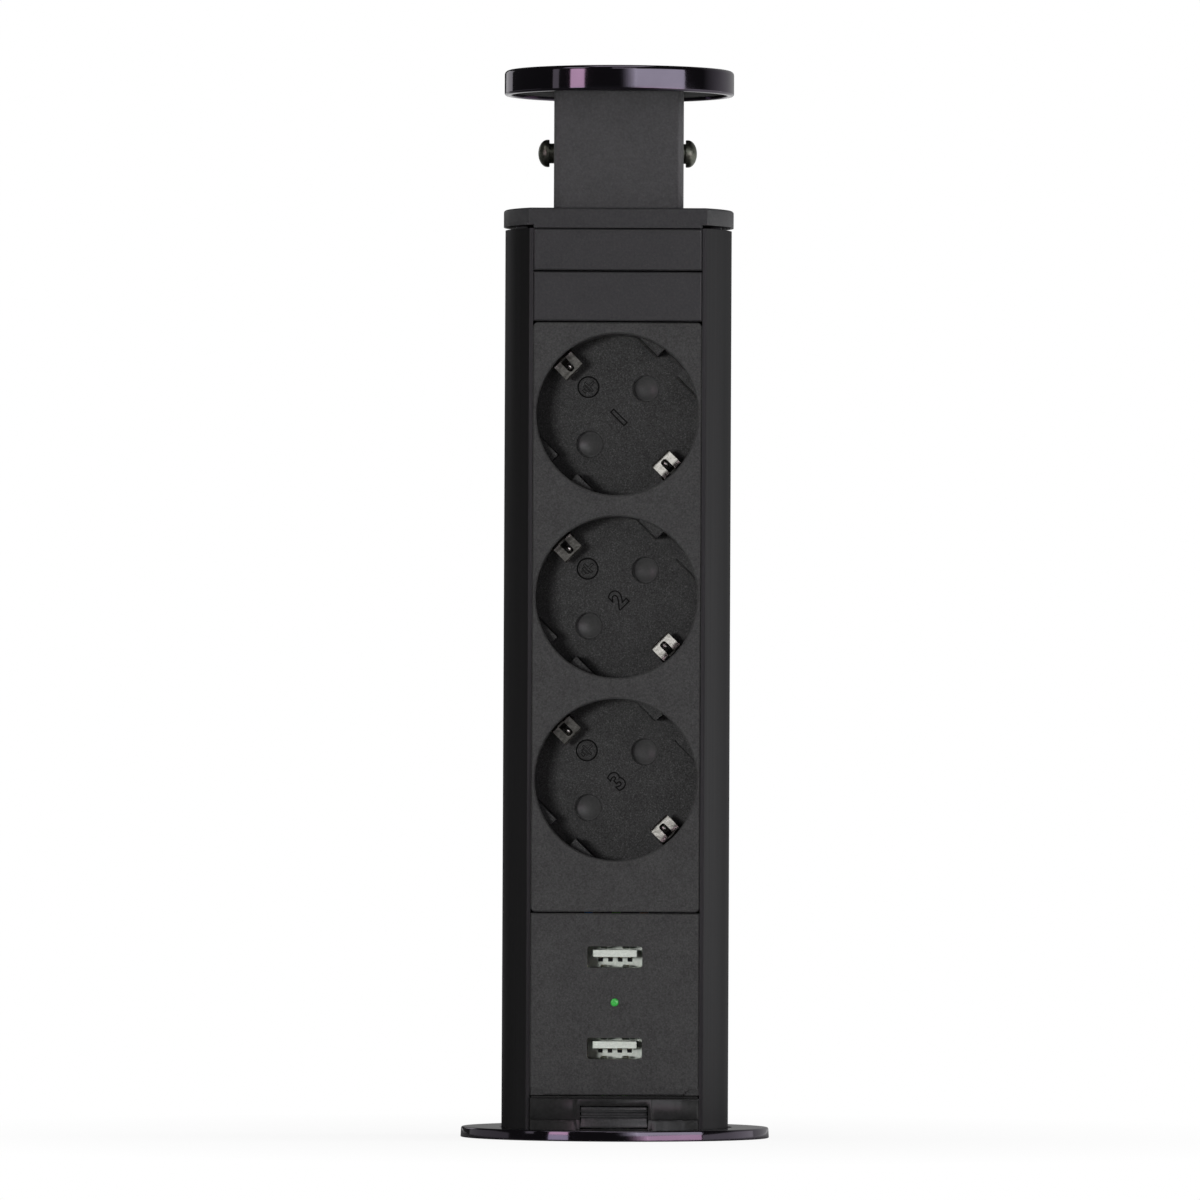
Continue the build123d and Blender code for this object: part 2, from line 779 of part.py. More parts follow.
# Insulating carrier behind the wells
carrier_low = well_heights[-1] - carrier_margin
carrier_high = well_heights[0] + carrier_margin
carrier_middle = (carrier_low + carrier_high) / 2
carrier_height = carrier_high - carrier_low
earth_channel_width = earth_strip_width + 2 * earth_channel_gap
carrier_width = 2 * (clip_offset + earth_channel_width / 2 + carrier_side_wall)
with BuildPart() as contact_carrier:
    with Locations((0, carrier_front + carrier_side_depth / 2, carrier_middle)):
        Box(carrier_width, carrier_side_depth, carrier_height)
    with Locations((0, (carrier_front + carrier_back) / 2, carrier_middle)):
        Box(carrier_core_width, carrier_back - carrier_front, carrier_height)
    channel_depth = carrier_back - channel_floor
    channel_y = channel_floor + (channel_depth + overrun) / 2
    with Locations(*[(s * pin_offset, channel_y, carrier_middle) for s in (1, -1)]):
        Box(channel_width, channel_depth + overrun, carrier_height + 2 * overrun, mode=Mode.SUBTRACT)
    earth_depth = earth_front + earth_strip_t + earth_channel_gap - carrier_front
    with Locations(
        *[(s * clip_offset, carrier_front + earth_depth / 2 - overrun / 2, carrier_middle) for s in (1, -1)]
    ):
        Box(
            earth_channel_width,
            earth_depth + overrun,
            carrier_height + 2 * overrun,
            mode=Mode.SUBTRACT,
        )
    for z in well_heights:
        with BuildSketch(well_plane(channel_floor + overrun, z)):
            with Locations(*[(s * socket_pin_spacing / 2, 0) for s in (1, -1)]):
                Circle(pin_hole_d / 2)
            with Locations(*[(0, s * carrier_screw_r) for s in (1, -1)]):
                Circle(carrier_screw_d / 2 + screw_fit)
        extrude(amount=carrier_skin + 2 * overrun, mode=Mode.SUBTRACT)
        post_low = z - pin_offset - shutter_blade / 2 - shutter_spring_length - shutter_post_height
        post_y = carrier_front - (shutter_t + shutter_gap) / 2
        with Locations((0, post_y, post_low + shutter_post_height / 2)):
            Box(shutter_post_width, shutter_t + shutter_gap, shutter_post_height)
keep(contact_carrier, "contact_carrier")

with BuildPart() as carrier_screws:
    for z in well_heights:
        with BuildSketch(well_plane(channel_floor, z)):
            with Locations(*[(0, s * carrier_screw_r) for s in (1, -1)]):
                Circle(carrier_screw_d / 2)
        extrude(amount=channel_floor - floor_front - carrier_screw_reach)
        with BuildSketch(well_plane(channel_floor + carrier_screw_head_t, z)):
            with Locations(*[(0, s * carrier_screw_r) for s in (1, -1)]):
                Circle(carrier_screw_head_d / 2)
        extrude(amount=carrier_screw_head_t)
keep(carrier_screws, "carrier_screws")

# Bus bars and the leads that feed them
line_bus, line_low = make_bus(1)
neutral_bus, neutral_low = make_bus(-1)
keep(line_bus, "line_bus")
keep(neutral_bus, "neutral_bus")
leads = {
    "line_lead": (pin_offset, line_low),
    "neutral_lead": (-pin_offset, neutral_low),
    "earth_lead": (0, earth_low),
}
for lead_name, (lead_x, lead_top) in leads.items():
    with BuildPart() as lead:
        with BuildSketch(Plane.XY.offset(terminal_top)):
            with Locations((lead_x, lead_y)):
                Circle(lead_d / 2)
        extrude(amount=lead_top - terminal_top)
    keep(lead, lead_name)

# Front plate of the charging ports
post_low = usb_bottom + (usb_height - board_post_rise) / 2
post_heights = (post_low, post_low + board_post_rise)
post_places = [(s * board_post_spacing / 2, z) for s in (1, -1) for z in post_heights]
with BuildPart() as usb_front:
    with BuildSketch(front_plane(panel_back, usb_middle)):
        Rectangle(panel_width, usb_height - panel_seam)
    extrude(amount=panel_t)
    chamfer(usb_front.faces().sort_by(Axis.Y)[0].edges(), panel_edge)
    with BuildSketch(front_plane(panel_back + overrun)):
        with Locations(*[(0, z) for z in usb_heights]):
            RectangleRounded(usb_mouth_width, usb_mouth_height, usb_mouth_corner)
        with Locations((0, led_height)):
            Circle(led_d / 2 + led_fit)
    extrude(amount=panel_t + 2 * overrun, mode=Mode.SUBTRACT)
    with BuildSketch(front_plane(usb_corner_depth - front_depth)):
        with Locations(*[(s * panel_width / 2, usb_bottom + panel_seam / 2) for s in (1, -1)]):
            Ellipse(usb_corner_width, usb_corner_height)
    extrude(amount=usb_corner_depth + overrun, mode=Mode.SUBTRACT)
    with BuildSketch(front_plane(board_front)):
        with Locations(*post_places):
            Circle(board_post_d / 2)
            Circle(board_screw_d / 2 + screw_fit, mode=Mode.SUBTRACT)
    extrude(amount=board_front - panel_back)
keep(usb_front, "usb_front")

for number, z in enumerate(usb_heights, 1):
    keep(make_usb_shell(z), f"usb_shell_{number}")
    keep(make_usb_tongue(z), f"usb_tongue_{number}")
    keep(make_usb_contacts(z), f"usb_contacts_{number}")

# Light pipe from the board to a small dome in the front
with BuildPart() as led_lens:
    with BuildSketch(front_plane(board_front, led_height)):
        Circle(led_d / 2)
    extrude(amount=board_front + front_depth + led_dome)
    fillet(led_lens.faces().sort_by(Axis.Y)[0].edges(), led_dome)
keep(led_lens, "led_lens")

# Charger board and what stands on it
board_back = board_front + board_t
with BuildPart() as usb_board:
    with Locations((0, (board_front + board_back) / 2, usb_middle)):
        Box(board_width, board_t, board_height)
    with BuildSketch(front_plane(board_back + overrun)):
        with Locations(*post_places):
            Circle(board_screw_d / 2 + screw_fit)
    extrude(amount=board_t + 2 * overrun, mode=Mode.SUBTRACT)
keep(usb_board, "usb_board")

with BuildPart() as board_screws:
    with BuildSketch(front_plane(board_back)):
        with Locations(*post_places):
            Circle(board_screw_d / 2)
    extrude(amount=board_t + board_screw_reach)
    with BuildSketch(front_plane(board_back + board_screw_head_t)):
        with Locations(*post_places):
            Circle(board_screw_head_d / 2)
    extrude(amount=board_screw_head_t)
keep(board_screws, "board_screws")

with BuildPart() as transformer:
    with Locations((0, board_back + transformer_depth / 2, usb_middle + board_part_rise)):
        Box(transformer_width, transformer_depth, transformer_height)
        Box(
            transformer_width + 2 * transformer_core_step,
            transformer_depth - 2 * transformer_core_step,
            transformer_core_t,
        )
keep(transformer, "transformer")

with BuildPart() as capacitors:
    with BuildSketch(front_plane(board_back + capacitor_length)):
        with Locations(*[(s * capacitor_spacing / 2, usb_middle - board_part_rise) for s in (1, -1)]):
            Circle(capacitor_d / 2)
    extrude(amount=capacitor_length)
    fillet(capacitors.edges().group_by(Axis.Y)[-1], capacitor_round)
keep(capacitors, "capacitors")

with BuildPart() as charge_chip:
    with Locations((0, board_back + chip_t / 2, usb_middle - board_part_rise)):
        Box(chip_width, chip_t, chip_height)
keep(charge_chip, "charge_chip")

# Foot block: the round front at the tower's foot, with its ledge and a wall behind the latch spring
latch_z = flange_t + button_rise + button_height / 2
button_back = button_depth - tower_r
latch_spring_length = button_travel + latch_spring_closed
latch_post_front = button_back + latch_spring_length
web_back = latch_post_front + latch_post_t
window_height = button_height + 2 * button_gap
with BuildPart() as foot_block:
    add(make_foot_shell(base_top, foot_top).part)
    with BuildSketch(Plane.XY.offset(foot_top - foot_web_t)):
        Circle(tower_r)
        with Locations((0, web_back - tower_r)):
            Rectangle(panel_width - 2 * panel_side_gap, 2 * tower_r, mode=Mode.INTERSECT)
        Circle(inner_r + casing_wall / 2, mode=Mode.INTERSECT)
    extrude(amount=foot_web_t)
    post_bottom = latch_z - latch_spring_d / 2
    with Locations((0, (latch_post_front + web_back) / 2, (post_bottom + foot_top) / 2)):
        Box(latch_post_width, latch_post_t, foot_top - post_bottom)
    lip_front = foot_lip_setback - front_depth
    lip_back = panel_back + panel_t
    with Locations((0, (lip_front + lip_back) / 2, foot_top + foot_lip_height / 2)):
        Box(panel_width - 2 * cup_side_gap, lip_back - lip_front, foot_lip_height)
    with Locations((0, button_back - tower_r / 2, latch_z)):
        Box(button_width + 2 * button_gap, tower_r, window_height, mode=Mode.SUBTRACT)
keep(foot_block, "foot_block")

# Foot base: the same round front on down inside the desk mount, to the tail cap
with BuildPart() as foot_base:
    add(make_foot_shell(tail_top + casing_seam, base_top).part)
    with BuildSketch(Plane.XY.offset(base_top - foot_groove_width)):
        Circle(tower_r + overrun)
        Circle(tower_r - foot_groove_depth, mode=Mode.SUBTRACT)
        with Locations((0, -tower_r)):
            Rectangle(foot_frame_width, tower_r, mode=Mode.SUBTRACT)
    extrude(amount=foot_groove_width, mode=Mode.SUBTRACT)
    with Locations((0, button_back - tower_r / 2, latch_z)):
        Box(button_width + 2 * button_gap, tower_r, window_height, mode=Mode.SUBTRACT)
    with Locations((0, -tower_r, flange_t + button_rise - catch_drop + catch_height / 2)):
        Box(
            catch_width + 2 * catch_gap,
            2 * (casing_wall + overrun),
            catch_height + 2 * catch_gap,
            mode=Mode.SUBTRACT,
        )
    with BuildSketch(Plane.XY.offset(tail_top + casing_seam)):
        with Locations(*tail_screw_places):
            Circle(tail_boss_d / 2)
        Circle(inner_r + casing_wall / 2, mode=Mode.INTERSECT)
    extrude(amount=tail_boss_height)
    with BuildSketch(Plane.XY.offset(tail_top)):
        with Locations(*tail_screw_places):
            Circle(tail_screw_d / 2 + screw_fit)
    extrude(amount=tail_boss_height, mode=Mode.SUBTRACT)
keep(foot_base, "foot_base")

# Release button with its two ribs, ears that keep it in and a catch on a finger below it
with BuildPart() as release_button:
    for low, height, proud in [(0, button_height, button_proud)] + [
        (rise - button_rib_height / 2, button_rib_height, button_rib_proud) for rise in button_rib_rises
    ]:
        with BuildSketch(Plane.XY.offset(flange_t + button_rise + low)):
            Circle(tower_r + proud)
            with Locations((0, button_back - tower_r / 2)):
                Rectangle(button_width, tower_r, mode=Mode.INTERSECT)
        extrude(amount=height)
    ear_r = inner_r - button_ear_gap
    ear_x = button_width / 2 + button_ear_width
    with BuildSketch(Plane.XY.offset(flange_t + button_rise)):
        Circle(ear_r)
        with Locations((0, button_back - button_ear_depth / 2)):
            Rectangle(2 * ear_x, button_ear_depth, mode=Mode.INTERSECT)
    extrude(amount=button_height)
    finger_y = button_back - catch_t / 2
    with Locations((0, finger_y, flange_t + button_rise - catch_drop / 2)):
        Box(catch_width, catch_t, catch_drop)
    with BuildSketch(Plane.XY.offset(flange_t + button_rise - catch_drop)):
        Circle(tower_r + catch_proud)
        with Locations((0, button_back - tower_r / 2)):
            Rectangle(catch_width, tower_r, mode=Mode.INTERSECT)
    extrude(amount=catch_height)
keep(release_button, "release_button")

latch_spring = make_coil(
    Location((0, latch_post_front, latch_z), (quarter_turn, 0, 0)),
    latch_spring_d,
    latch_spring_wire,
    latch_spring_length,
    latch_spring_rings,
)
keep(latch_spring, "latch_spring")

# Top plate: meets the front cover, stands clear of the rails at its sides, and has a spigot for the casing
with BuildPart() as top_plate:
    with BuildSketch(Plane.XY.offset(plate_side)):
        Circle(top_plate_r)
        with Locations((0, top_plate_r - top_plate_front)):
            Rectangle(2 * top_plate_r, 2 * top_plate_r, mode=Mode.INTERSECT)
    extrude(amount=plate_top - plate_side)
    fillet(top_plate.faces().sort_by(Axis.Z)[-1].edges(), top_plate_round)
    with BuildSketch(Plane.XY.offset(casing_top)):
        Circle(top_plate_r)
        with Locations((0, top_plate_r - top_plate_front)):
            Rectangle(panel_width, 2 * top_plate_r, mode=Mode.INTERSECT)
    extrude(amount=top_plate_side_gap)
    add(make_spigot(casing_top - spigot_height, plate_side).part)
    for angle in casing_screw_angles:
        with Locations(casing_screw_location(angle, casing_screw_heights[1])):
            Hole(casing_screw_d / 2 + screw_fit, casing_wall + spigot_wall + overrun)
    with BuildSketch(Plane.XY.offset(casing_top - overrun)):
        with Locations(*[(s * neck_screw_spacing / 2, 0) for s in (1, -1)]):
            Circle(neck_screw_d / 2 + screw_fit)
    extrude(amount=top_plate_height + 2 * overrun, mode=Mode.SUBTRACT)
keep(top_plate, "top_plate")

with BuildPart() as casing_screws:
    for angle in casing_screw_angles:
        for z in casing_screw_heights:
            place = casing_screw_location(angle, z)
            seat = place * Pos(0, 0, -casing_screw_head_t)
            with Locations(place * Pos(0, 0, screw_fit / 2 - casing_screw_head_t / 2 - screw_fit)):
                Cylinder(casing_screw_head_d / 2, casing_screw_head_t - screw_fit)
            with Locations(seat * Pos(0, 0, -casing_screw_length / 2 + screw_fit)):
                Cylinder(casing_screw_d / 2, casing_screw_length)
keep(casing_screws, "casing_screws")

# Neck with its two screw bosses and cross holes
neck_top = lid_bottom + lid_recess
pin_z = plate_top + neck_height / 2
with BuildPart() as neck:
    with BuildSketch(Plane.XY.offset(plate_top)):
        RectangleRounded(neck_width, neck_depth, neck_corner)
        Rectangle(neck_width - 2 * neck_wall, neck_depth - 2 * neck_wall, mode=Mode.SUBTRACT)
    extrude(amount=neck_top - plate_top)
    boss_height = pin_z - pin_d / 2 - overrun - plate_top
    with BuildSketch(Plane.XY.offset(plate_top)):
        with Locations(*[(s * neck_screw_spacing / 2, 0) for s in (1, -1)]):
            Circle(neck_boss_d / 2)
            Rectangle(neck_wall, neck_depth - neck_wall)
    extrude(amount=boss_height)
    with BuildSketch(Plane.XY.offset(plate_top)):
        with Locations(*[(s * neck_screw_spacing / 2, 0) for s in (1, -1)]):
            Circle(neck_screw_d / 2 + screw_fit)
    extrude(amount=boss_height, mode=Mode.SUBTRACT)
    with Locations(Location((0, 0, pin_z), (0, quarter_turn, 0))):
        Cylinder(pin_d / 2 + pin_fit, neck_width + 2 * overrun, mode=Mode.SUBTRACT)
keep(neck, "neck")

with BuildPart() as neck_screws:
    with BuildSketch(Plane.XY.offset(casing_top)):
        with Locations(*[(s * neck_screw_spacing / 2, 0) for s in (1, -1)]):
            Circle(neck_screw_d / 2)
    extrude(amount=top_plate_height + neck_screw_reach)
    with BuildSketch(Plane.XY.offset(casing_top - neck_screw_head_t)):
        with Locations(*[(s * neck_screw_spacing / 2, 0) for s in (1, -1)]):
            Circle(neck_screw_head_d / 2)
    extrude(amount=neck_screw_head_t)
keep(neck_screws, "neck_screws")

# Pin across the neck, with a domed head at each end
shank_length = neck_width + 2 * pin_play
with BuildPart() as cross_pin:
    with Locations(Location((-pin_shift, 0, pin_z), (0, quarter_turn, 0))):
        Cylinder(pin_d / 2, shank_length)
    head_x = shank_length / 2 + pin_head_t / 2
    with Locations(*[Location((s * head_x - pin_shift, 0, pin_z), (0, quarter_turn, 0)) for s in (1, -1)]):
        Cylinder(pin_head_d / 2, pin_head_t)
    fillet([cross_pin.edges().sort_by(Axis.X)[0], cross_pin.edges().sort_by(Axis.X)[-1]], pin_head_round)
keep(cross_pin, "cross_pin")

# Lid: metal cap over a plastic insert
with BuildPart() as lid_cap:
    with BuildSketch(Plane.XY.offset(lid_bottom)):
        Circle(lid_r)
    extrude(amount=lid_height)
    fillet(lid_cap.faces().sort_by(Axis.Z)[-1].edges(), lid_round)
    fillet(lid_cap.faces().sort_by(Axis.Z)[0].edges(), lid_lower_round)
    with BuildSketch(Plane.XY.offset(lid_bottom)):
        Circle(lid_r - lid_rim)
    extrude(amount=lid_height - lid_skin, mode=Mode.SUBTRACT)
keep(lid_cap, "lid_cap")

with BuildPart() as lid_insert:
    with BuildSketch(Plane.XY.offset(neck_top)):
        Circle(lid_r - lid_rim - lid_fit)
    extrude(amount=lid_height - lid_skin - lid_recess)
keep(lid_insert, "lid_insert")

# Tail cap with its screws, gland and the terminals above it
with BuildPart() as tail_cap:
    with BuildSketch(Plane.XY.offset(tail_bottom)):
        Circle(tower_r)
        Circle(gland_thread_d / 2 + gland_fit, mode=Mode.SUBTRACT)
        with Locations(*tail_screw_places):
            Circle(tail_screw_d / 2 + screw_fit, mode=Mode.SUBTRACT)
    extrude(amount=tail_cap_t)
    add(make_spigot(tail_top - tail_cap_t / 2, tail_top + spigot_height).part)
    for angle in casing_screw_angles:
        with Locations(casing_screw_location(angle, casing_screw_heights[0])):
            Hole(casing_screw_d / 2 + screw_fit, casing_wall + spigot_wall + overrun)
keep(tail_cap, "tail_cap")

with BuildPart() as tail_screws:
    with BuildSketch(Plane.XY.offset(tail_bottom)):
        with Locations(*tail_screw_places):
            Circle(tail_screw_d / 2)
    extrude(amount=tail_cap_t + tail_screw_reach)
    with BuildSketch(Plane.XY.offset(tail_bottom - tail_screw_head_t)):
        with Locations(*tail_screw_places):
            Circle(tail_screw_head_d / 2)
    extrude(amount=tail_screw_head_t)
keep(tail_screws, "tail_screws")

with BuildPart() as cord_gland:
    with BuildSketch(Plane.XY.offset(tail_bottom)):
        Circle(gland_thread_d / 2)
    extrude(amount=tail_cap_t + gland_nut_t)
    with BuildSketch(Plane.XY.offset(tail_bottom - gland_hex_t)):
        RegularPolygon(gland_hex_d / 2, hex_sides, major_radius=False)
    extrude(amount=gland_hex_t)
    with BuildSketch(Plane.XY.offset(tail_bottom - gland_hex_t - gland_dome_t)):
        Circle(gland_dome_d / 2)
    extrude(amount=gland_dome_t)
    fillet(cord_gland.faces().sort_by(Axis.Z)[0].edges(), gland_dome_round)
    with Locations((0, 0, tail_bottom)):
        Cylinder(gland_bore_d / 2, 2 * (gland_hex_t + gland_dome_t + tail_cap_t), mode=Mode.SUBTRACT)
keep(cord_gland, "cord_gland")

with BuildPart() as gland_nut:
    with BuildSketch(Plane.XY.offset(tail_top)):
        RegularPolygon(gland_nut_d / 2, hex_sides, major_radius=False)
        Circle(gland_thread_d / 2 + gland_fit, mode=Mode.SUBTRACT)
    extrude(amount=gland_nut_t)
keep(gland_nut, "gland_nut")

with BuildPart() as terminal_block:
    with Locations((0, terminal_y, terminal_top - terminal_height / 2)):
        Box(terminal_width, terminal_depth, terminal_height)
    screw_face = (0, terminal_y - terminal_depth / 2, terminal_top - terminal_height / 2)
    screw_place = Location(screw_face, (quarter_turn, 0, 0))
    with Locations(*[screw_place * Pos(n * pin_offset, 0, 0) for n in (-1, 0, 1)]):
        Cylinder(terminal_screw_d / 2, 2 * terminal_screw_t, mode=Mode.SUBTRACT)
keep(terminal_block, "terminal_block")

# Pair of leads from the terminals up to the charger board
feed_low = terminal_top
feed_y = board_back + feed_d / 2 + casing_seam
feed_back = terminal_y - terminal_depth / 2 + feed_inset
with BuildPart() as feed_leads:
    for side in (1, -1):
        feed_x = side * feed_spacing / 2
        with BuildLine() as feed_route:
            FilletPolyline(
                (feed_x, feed_back, feed_low),
                (feed_x, feed_back, feed_low + feed_bend),
                (feed_x, feed_y, feed_low + 2 * feed_bend),
                (feed_x, feed_y, feed_top),
                radius=feed_bend_r,
            )
        with BuildSketch(Plane.XY.offset(feed_low)):
            with Locations((feed_x, feed_back)):
                Circle(feed_d / 2)
        sweep(path=feed_route.line)
keep(feed_leads, "feed_leads")

print("travel of the tower", round(travel, 2))
print("lead from terminals to board bends at", round(feed_bend_r, 2))
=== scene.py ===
import json
from math import asin, atan2, cos, pi, radians, sin, sqrt, tan

import bmesh
import bpy
from mathutils import Matrix, Vector

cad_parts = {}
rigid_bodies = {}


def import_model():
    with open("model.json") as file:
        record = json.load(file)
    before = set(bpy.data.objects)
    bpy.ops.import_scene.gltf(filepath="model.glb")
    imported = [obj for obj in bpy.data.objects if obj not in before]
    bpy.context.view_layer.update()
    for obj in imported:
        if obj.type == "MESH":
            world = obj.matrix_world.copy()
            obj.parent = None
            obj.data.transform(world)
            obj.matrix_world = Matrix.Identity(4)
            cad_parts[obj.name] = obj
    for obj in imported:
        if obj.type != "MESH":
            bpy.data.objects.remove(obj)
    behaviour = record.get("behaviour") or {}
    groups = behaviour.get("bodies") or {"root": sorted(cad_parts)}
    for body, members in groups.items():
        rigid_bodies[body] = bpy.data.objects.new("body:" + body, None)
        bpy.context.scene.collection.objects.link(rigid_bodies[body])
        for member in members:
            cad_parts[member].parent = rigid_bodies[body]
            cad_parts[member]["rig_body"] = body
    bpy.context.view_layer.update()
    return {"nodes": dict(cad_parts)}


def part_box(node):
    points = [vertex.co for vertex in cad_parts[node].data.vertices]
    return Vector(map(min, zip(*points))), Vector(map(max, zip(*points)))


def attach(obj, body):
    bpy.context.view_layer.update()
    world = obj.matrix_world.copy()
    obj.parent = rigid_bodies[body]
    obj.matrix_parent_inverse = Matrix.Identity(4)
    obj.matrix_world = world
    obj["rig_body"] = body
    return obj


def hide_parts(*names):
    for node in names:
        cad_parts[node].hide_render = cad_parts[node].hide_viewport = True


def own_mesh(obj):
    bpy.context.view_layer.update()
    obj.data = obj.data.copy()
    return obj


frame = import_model()
nodes = frame["nodes"]
mm = 0.001

# Finishes


def linear(colour):
    """sRGB hex to the linear colour that a shader takes."""
    channels = [int(colour[n : n + 2], 16) / 255 for n in (1, 3, 5)]
    return (*(c / 12.92 if c <= 0.04045 else ((c + 0.055) / 1.055) ** 2.4 for c in channels), 1.0)


def add(tree, kind, inputs=(), **settings):
    """Add a shader node. An input that is another node's output is linked, and any other is set."""
    node = tree.nodes.new("ShaderNode" + kind)
    for name, value in settings.items():
        setattr(node, name, value)
    for name, value in dict(inputs).items():
        if isinstance(value, bpy.types.NodeSocket):
            tree.links.new(value, node.inputs[name])
        else:
            node.inputs[name].default_value = value
    return node


def new_finish(name, **sockets):
    """Material with a Principled shader and the coordinates that its patterns use, in metres."""
    material = bpy.data.materials.new(name)
    material.use_nodes = True
    tree = material.node_tree
    shader = tree.nodes["Principled BSDF"]
    for socket, value in sockets.items():
        shader.inputs[socket.replace("_", " ")].default_value = value
    place = add(tree, "TexCoord").outputs["Object"]
    return material, tree, shader, place


def grit(tree, place, size, detail=2.0, stretch=(1, 1, 1)):
    """Noise whose grains are about size metres across, drawn out by stretch along each axis."""
    scaled = add(tree, "Mapping", {"Vector": place, "Scale": tuple(1 / s for s in stretch)})
    inputs = {"Vector": scaled.outputs[0], "Scale": 1 / size, "Detail": detail, "Roughness": 0.55}
    return add(tree, "TexNoise", inputs).outputs["Fac"]


def work_surface(tree, shader, colours, tone, roughness, haze, relief, depth):
    """Vary a shader by patterns: its colour between two hex values by tone, its roughness between two values
    by haze, and its normal by relief, which stands depth metres high."""
    blend = {0: tone, 6: linear(colours[0]), 7: linear(colours[1])}
    colour = add(tree, "Mix", blend, data_type="RGBA", clamp_factor=False).outputs[2]
    tree.links.new(colour, shader.inputs["Base Color"])
    span = {"Value": haze, "From Min": 0.3, "From Max": 0.7, "To Min": roughness[0], "To Max": roughness[1]}
    tree.links.new(add(tree, "MapRange", span).outputs[0], shader.inputs["Roughness"])
    bump = add(tree, "Bump", {"Height": relief, "Distance": depth, "Strength": 1.0})
    tree.links.new(bump.outputs[0], shader.inputs["Normal"])


def moulded_plastic(name, dark, light, roughness, grain, depth, painted_glint=0.0, specular=0.5):
    """Moulded thermoplastic: fine tool texture, faint flow blotches and pale flecks painted as glints.
    A spark eroded tool's real texture is some 0.05 mm fine, and is drawn coarser so that it shows."""
    material, tree, shader, place = new_finish(name, IOR=1.53, Specular_IOR_Level=specular)
    blotch = 6 * mm
    fleck_size = 0.75 * grain
    # The fine tone is partly painted speckle, light that the tool texture would catch
    fine = grit(tree, place, grain, 3.0)
    broad = grit(tree, place, blotch)
    drift = add(tree, "Math", {0: broad, 1: 0.3, 2: fine}, operation="MULTIPLY_ADD").outputs[0]
    tone = add(tree, "MapRange", {"Value": drift, "From Min": 0.4, "From Max": 0.9}).outputs[0]
    # Pale flecks: painted glints, where the texture would catch the light
    flecks = {"Value": grit(tree, place, fleck_size, 1.0), "From Min": 0.57, "From Max": 0.7, "To Max": painted_glint}
    painted_glints = add(tree, "MapRange", flecks).outputs[0]
    lit_tone = add(tree, "Math", {0: tone, 1: painted_glints}, operation="ADD").outputs[0]
    roughnesses = (roughness - 0.05, roughness + 0.05)
    work_surface(tree, shader, (dark, light), lit_tone, roughnesses, broad, fine, depth)
    return material


def plated_metal(name, dark, light, roughness, grain, depth=0.002 * mm, stretch=(1, 1, 1)):
    """Metal or plating: tone, gloss and faint marks vary along the way it was worked."""
    material, tree, shader, place = new_finish(name, Metallic=1.0)
    marks = grit(tree, place, grain, 3.0, stretch)
    tone = add(tree, "MapRange", {"Value": marks, "From Min": 0.3, "From Max": 0.7}).outputs[0]
    roughnesses = (roughness * 0.8, roughness * 1.25)
    work_surface(tree, shader, (dark, light), tone, roughnesses, marks, marks, depth)
    return material


def wire_insulation(name, colour, shade):
    """Extruded PVC insulation: soft sheen, with tone that drifts along the lead."""
    material, tree, shader, place = new_finish(name, IOR=1.54, Coat_Weight=0.15)
    drift = grit(tree, place, 3 * mm, 2.0, (1, 1, 4))
    work_surface(tree, shader, (colour, shade), drift, (0.34, 0.46), drift, drift, 0.02 * mm)
    return material


def anodised_aluminium():
    """Extruded, black anodised aluminium: satin, with faint die lines along it. A grey edge tint paints shade
    on its grazing edges.
    Real die lines are some 0.1 mm apart, and are drawn coarser so that they show."""
    material, tree, shader, place = new_finish("black_anodised_aluminium", Metallic=1.0)
    # Painted shade: the grey tint dims what the grazing edges mirror, so they stay dark
    shader.inputs["Specular Tint"].default_value = linear("#b4b4b4")
    lines = grit(tree, place, 0.35 * mm, 3.0, (1, 1, 220))
    tone = add(tree, "MapRange", {"Value": lines, "From Min": 0.3, "From Max": 0.7}).outputs[0]
    work_surface(tree, shader, ("#515152", "#5b5b5c"), tone, (0.36, 0.44), lines, lines, 0.006 * mm)
    return material


def black_chrome():
    """Polished zinc with black nickel over it: a dark violet mirror with hairline marks from handling."""
    material, tree, shader, place = new_finish("black_nickel_chrome", Metallic=1.0)
    hairs = grit(tree, place, 0.15 * mm, 4.0, (14, 14, 1))
    haze = grit(tree, place, 9 * mm)
    work_surface(tree, shader, ("#57515b", "#655f6a"), haze, (0.05, 0.1), haze, hairs, 0.0006 * mm)
    return material


def green_lens():
    """Tinted epoxy light pipe, lit from the board: a faint even glow in a clouded green."""
    gloss = {"Roughness": 0.12, "IOR": 1.5, "Specular_IOR_Level": 1.0}
    material, tree, shader, place = new_finish("green_tinted_epoxy", **gloss)
    cloud = grit(tree, place, 0.8 * mm)
    blend = {0: cloud, 6: linear("#2c9638"), 7: linear("#49b653")}
    green = add(tree, "Mix", blend, data_type="RGBA", clamp_factor=False).outputs[2]
    tree.links.new(green, shader.inputs["Base Color"])
    tree.links.new(green, shader.inputs["Emission Color"])
    shader.inputs["Emission Strength"].default_value = 0.12
    return material


def solder_mask():
    """Epoxy glass board under green solder mask: the woven glass shows as a fine grid."""
    material, tree, shader, place = new_finish("solder_masked_fibreglass", Coat_Weight=0.3)
    threads = {"Vector": place, "Scale": 0.3 / mm, "Distortion": 0.4}
    warp, weft = (add(tree, "TexWave", threads, bands_direction=axis).outputs["Fac"] for axis in ("X", "Z"))
    cross = add(tree, "Math", {0: warp, 1: weft}, operation="MULTIPLY").outputs[0]
    work_surface(tree, shader, ("#0c4526", "#136034"), cross, (0.3, 0.3), cross, cross, 0.01 * mm)
    return material


# Spark eroded ABS of the flat fronts: matt, mottled charcoal
textured_abs = moulded_plastic(
    "spark_textured_abs", "#2c2c2c", "#454545", 0.62, 0.4 * mm, 0.05 * mm, painted_glint=0.5, specular=0.3
)
# Glass filled nylon of the wells: darker than the fronts, and grittier, with more painted glint flecks
well_nylon = moulded_plastic(
    "glass_filled_nylon", "#262626", "#424242", 0.6, 0.36 * mm, 0.05 * mm, painted_glint=1.0, specular=0.15
)
